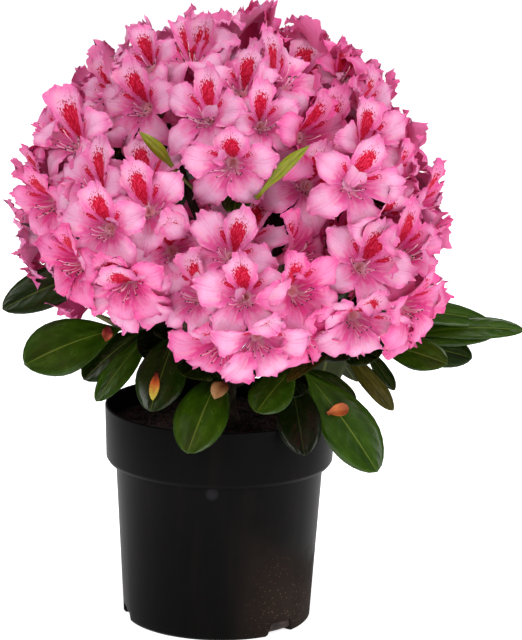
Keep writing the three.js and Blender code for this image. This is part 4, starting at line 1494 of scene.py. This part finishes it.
def make_petals():
    """Each flower's five lobes and its tube, dealt out into three shades of pink as painted light and
    shade.
    """
    rng = np.random.default_rng(PETAL_SEED)
    sheaves = {shade: Sheaf(f"petals_{shade}") for shade in PETAL_TINTS}
    tube_faces = grid_faces(len(TUBE_RISE) - 1, TUBE_COLUMNS)
    tube_shares = sheet_places(np.linspace(0, 1, TUBE_COLUMNS + 1), np.linspace(0, 1, len(TUBE_RISE)))
    tube_place = tile_place(TUBE_TILE, *tube_shares.T)
    across = LOBE_PLAN.places[:, 0] / 2 + 0.5
    along = LOBE_PLAN.places[:, 1]
    behind = tile_place(BACK_TILE, across, along)
    back_quads = LOBE_PLAN.quads[:, [0, 3, 2, 1]] + len(across)
    back_triangles = LOBE_PLAN.triangles[:, [0, 2, 1]] + len(across)
    for flower in flowers:
        sheaf = sheaves[lit_or_shaded_tint(flower, rng)]
        for lobe, (place, slot) in enumerate(lobe_fronts(flower, across, along)):
            sheaf.add(
                lobe_points(flower, lobe, rng),
                np.concatenate([place, behind]),
                (LOBE_PLAN.quads, slot),
                (LOBE_PLAN.triangles, slot),
                (back_quads, BACK_SLOT),
                (back_triangles, BACK_SLOT),
            )
        sheaf.add(tube_points(flower), tube_place, (tube_faces, TUBE_SLOT))
    truss_nodes = [mass.node for mass in trusses]
    for shade, sheaf in sheaves.items():
        *front, back = tints(PETAL_TINTS[shade])
        throat, _, _, margin = front
        materials = [
            petal_silk(f"{shade}_upper_lobe", front, UPPER_BLOTCH),
            petal_silk(f"{shade}_side_lobe", front, SIDE_BLOTCH),
            petal_silk(f"{shade}_lower_lobe", front),
            petal_back(f"{shade}_back", back, margin),
            flower_tube(f"{shade}_tube", back, throat),
        ]
        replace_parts(sheaf.piece(materials, "bloom"), *truss_nodes)


def thread_end(number, rng):
    """The end of a stamen, fanned out below the flower's middle, or of the style, which comes last."""
    sway = rng.uniform(-STAMEN_FAN_SWAY, STAMEN_FAN_SWAY)
    fan = math.radians(lerp(-STAMEN_FAN, STAMEN_FAN, number / (STAMENS - 1)) + sway)
    spread = rng.uniform(*STAMEN_SPREAD)
    if number == STAMENS:
        return np.array([0.0, STYLE_LIFT, rng.uniform(*STYLE_REACH)])
    lift = STAMEN_LIFT - spread * math.cos(fan) * STAMEN_DROP
    return np.array([spread * math.sin(fan), lift, rng.uniform(*STAMEN_REACH)])


def make_stamens():
    """Pale threads with dark tips and one longer style in each flower, bent up at the end."""
    rng = np.random.default_rng(STAMEN_SEED)
    threads = Sheaf("stamens_and_styles")
    tips = Sheaf("anthers_and_stigmas")
    start = np.array([0, 0, TUBE_RISE[2]])
    for flower in flowers:
        basis = np.stack([flower.across, flower.upper, flower.way])
        paths = []
        for number in range(STAMENS + 1):
            end = thread_end(number, rng)
            path = bent_path(start, end * THREAD_BEND + THREAD_SAG, end)
            paths.append(flower.throat + path @ basis * flower.size)
            style = number == STAMENS
            corners = NUGGET * (STIGMA_SIZE if style else ANTHER_SIZE) @ basis
            tips.add(paths[-1][-1] + corners, BAKE_MAP_MIDDLE, (NUGGET_FACES, 1 if style else 0))
        add_stalks(threads, paths, FILAMENT_RADIUS, FILAMENT_SIDES)
    threads.piece([tinted_stalk("pale_filament")], "bloom")
    tips.piece([tinted_stalk("dark_anther"), tinted_stalk("red_stigma")], "bloom")


# Leaves

def blade_points(leaf, stalk_share, camber, rng):
    """Upper and lower face of a blade, as rows of points from its stalk to its tip."""
    share = LEAF_STATIONS[:, None]
    across = np.linspace(-1, 1, LEAF_COLUMNS + 1)
    blade = np.clip((share - stalk_share) / (1 - stalk_share), 0, 1)
    forward, fullness = leaf.outline
    outline = np.sin(np.pi * blade**forward) ** fullness
    width = np.maximum(leaf.half_width * outline, PETIOLE_HALF_WIDTH * (1 - PETIOLE_TAPER * share))
    normal = square_to(leaf.face, leaf.way(share))[:, None]
    lateral = np.cross(leaf.way(share)[:, None], normal)
    depth = rng.uniform(*LEAF_WAVE_DEPTH)
    pace = rng.uniform(*LEAF_WAVE_PACE)
    wave = depth * np.sin(share * pace + rng.uniform(*LEAF_WAVE_START) + np.sign(across) * LEAF_WAVE_LAG)
    rib = -LEAF_RIB_SINK * np.exp(-((across / LEAF_RIB_WIDTH) ** 2))
    lift = (rib + (camber + wave) * across**2) * outline
    upper = leaf.spine(share)[:, None] + lateral * (width * across)[..., None] + normal * lift[..., None]
    body = (1 - across**2) * np.ones_like(share) * LEAF_THICKNESS + LEAF_EDGE_THICKNESS
    return np.concatenate([upper, upper - normal * body[..., None]])


def leaf_rim_faces():
    """Quads that join the margins of the upper and the lower face."""
    rows = np.arange(LEAF_ROWS)
    wide = LEAF_COLUMNS + 1
    left = rows * wide
    right = rows * wide + LEAF_COLUMNS
    columns = np.arange(LEAF_COLUMNS)
    tip = LEAF_ROWS * wide + columns
    edges = [(left, left + wide), (right + wide, right), (tip, tip + 1), (columns + 1, columns)]
    under = LEAF_POINTS
    return np.concatenate([np.stack([a, a + under, b + under, b], axis=1) for a, b in edges])


def add_blade(sheaf, points):
    """A closed blade: its upper face in the first finish, its lower face and rim in the second."""
    above = sheet_places(np.linspace(0, 0.5, LEAF_COLUMNS + 1), LEAF_STATIONS)
    places = np.concatenate([above, above + (0.5, 0)])
    faces = grid_faces(LEAF_ROWS, LEAF_COLUMNS)
    below = faces[:, ::-1] + LEAF_POINTS
    sheaf.add(points, places, (faces, 0), (below, 1), (leaf_rim_faces(), 1))


def make_leaves():
    """All leaves, dealt out into shades of green."""
    rng = np.random.default_rng(LEAF_SHADE_SEED)
    sheaves = {shade: Sheaf(f"leaves_{shade}") for shade in LEAF_TINTS}
    for leaf in leaves:
        shade = leaf.shade or rng.choice(list(LEAF_SHARES), p=list(LEAF_SHARES.values()))
        add_blade(sheaves[shade], blade_points(leaf, PETIOLE_SHARE, rng.uniform(*LEAF_CAMBER), rng))
    shoot_nodes = [mass.node for mass in shoots]
    underside = leaf_underside()
    for shade, sheaf in sheaves.items():
        leather = leaf_leather(f"leaf_{shade}", *tints(LEAF_TINTS[shade]))
        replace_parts(sheaf.piece([leather, underside], "leaf"), *shoot_nodes)


def make_bud_scales():
    """Dry scales of the flower buds that have dropped on the leaves, curled up at their edges."""
    rng = np.random.default_rng(SCALE_SEED)
    for name, (leaf_name, share, beside, turn, length, half_width, shades) in BUD_SCALES.items():
        leaf = shown_leaves[leaf_name]
        way = leaf.way(share)
        normal = square_to(leaf.face, way)
        middle = leaf.spine(share) + np.cross(way, normal) * beside + normal * SCALE_LIFT
        reach = turned(way, normal, math.radians(turn)) * length / 2
        scale = Leaf(middle - reach, middle + reach, normal, half_width)
        sheaf = Sheaf(f"bud_scale_{name}")
        add_blade(sheaf, blade_points(scale, 0.0, half_width * SCALE_CURL, rng))
        finish = dry_scale(name, *tints(shades))
        sheaf.piece([finish, finish], "leaf")


# Stage

def make_stage():
    """A plain pale floor and soft lights."""
    bm = bmesh.new()
    bmesh.ops.create_circle(bm, cap_ends=True, radius=FLOOR_RADIUS, segments=FLOOR_STEPS)
    mesh = bpy.data.meshes.new("floor")
    bm.to_mesh(mesh)
    bm.free()
    floor = bpy.data.objects.new("floor", mesh)
    bpy.context.scene.collection.objects.link(floor)
    finish = Finish("pale_floor")
    cloud = finish.grain(finish.object_place(), 3, 2)
    finish.set(Base_Color=finish.ramp(cloud, (0.3, tint(248, 248, 248)), (0.7, tint(252, 252, 252))))
    finish.set(Roughness=finish.between(cloud, 0.3, 0.7, 0.8, 0.9))
    finish.set(Emission_Color=WHITE, Emission_Strength=FLOOR_GLOW)
    mesh.materials.append(finish.material)
    floor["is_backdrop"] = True
    for name, row in LIGHTS.items():
        soft_light(name, *row)
    world = bpy.data.worlds.new("studio")
    world.use_nodes = True
    sky = world.node_tree.nodes["Background"]
    sky.inputs["Color"].default_value = WHITE
    sky.inputs["Strength"].default_value = SKY_STRENGTH
    bpy.context.scene.world = world
    bpy.context.scene.view_settings.view_transform = "Standard"


def soft_light(name, place, size, power):
    """A round lamp that faces the middle of the plant."""
    data = bpy.data.lights.new(name, "AREA")
    data.shape = "DISK"
    data.size = size
    data.energy = power
    light = bpy.data.objects.new(name, data)
    light.location = place
    light.rotation_euler = (Vector(LIGHT_AIM) - Vector(place)).to_track_quat("-Z", "Y").to_euler()
    bpy.context.scene.collection.objects.link(light)


def make_camera():
    """A long lens a little above the plant, rolled as the photograph is."""
    data = bpy.data.cameras.new("camera")
    data.lens = CAMERA_LENS
    data.sensor_width = CAMERA_SENSOR
    camera = bpy.data.objects.new("camera", data)
    eye = Vector(CAMERA_EYE)
    look = (Vector(CAMERA_TARGET) - eye).to_track_quat("-Z", "Y").to_matrix().to_4x4()
    roll = Matrix.Rotation(math.radians(CAMERA_ROLL), 4, "Z")
    camera.matrix_world = Matrix.Translation(eye) @ look @ roll
    bpy.context.scene.collection.objects.link(camera)
    bpy.context.scene.camera = camera


make_pot()
make_compost()
make_crumbs()
make_limbs()
make_stalks()
make_petals()
make_stamens()
make_leaves()
make_bud_scales()
make_stage()
make_camera()

boxes = {"cad": solids_box, "visual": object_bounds()}
{name: [list(corner) for corner in box] for name, box in boxes.items()}
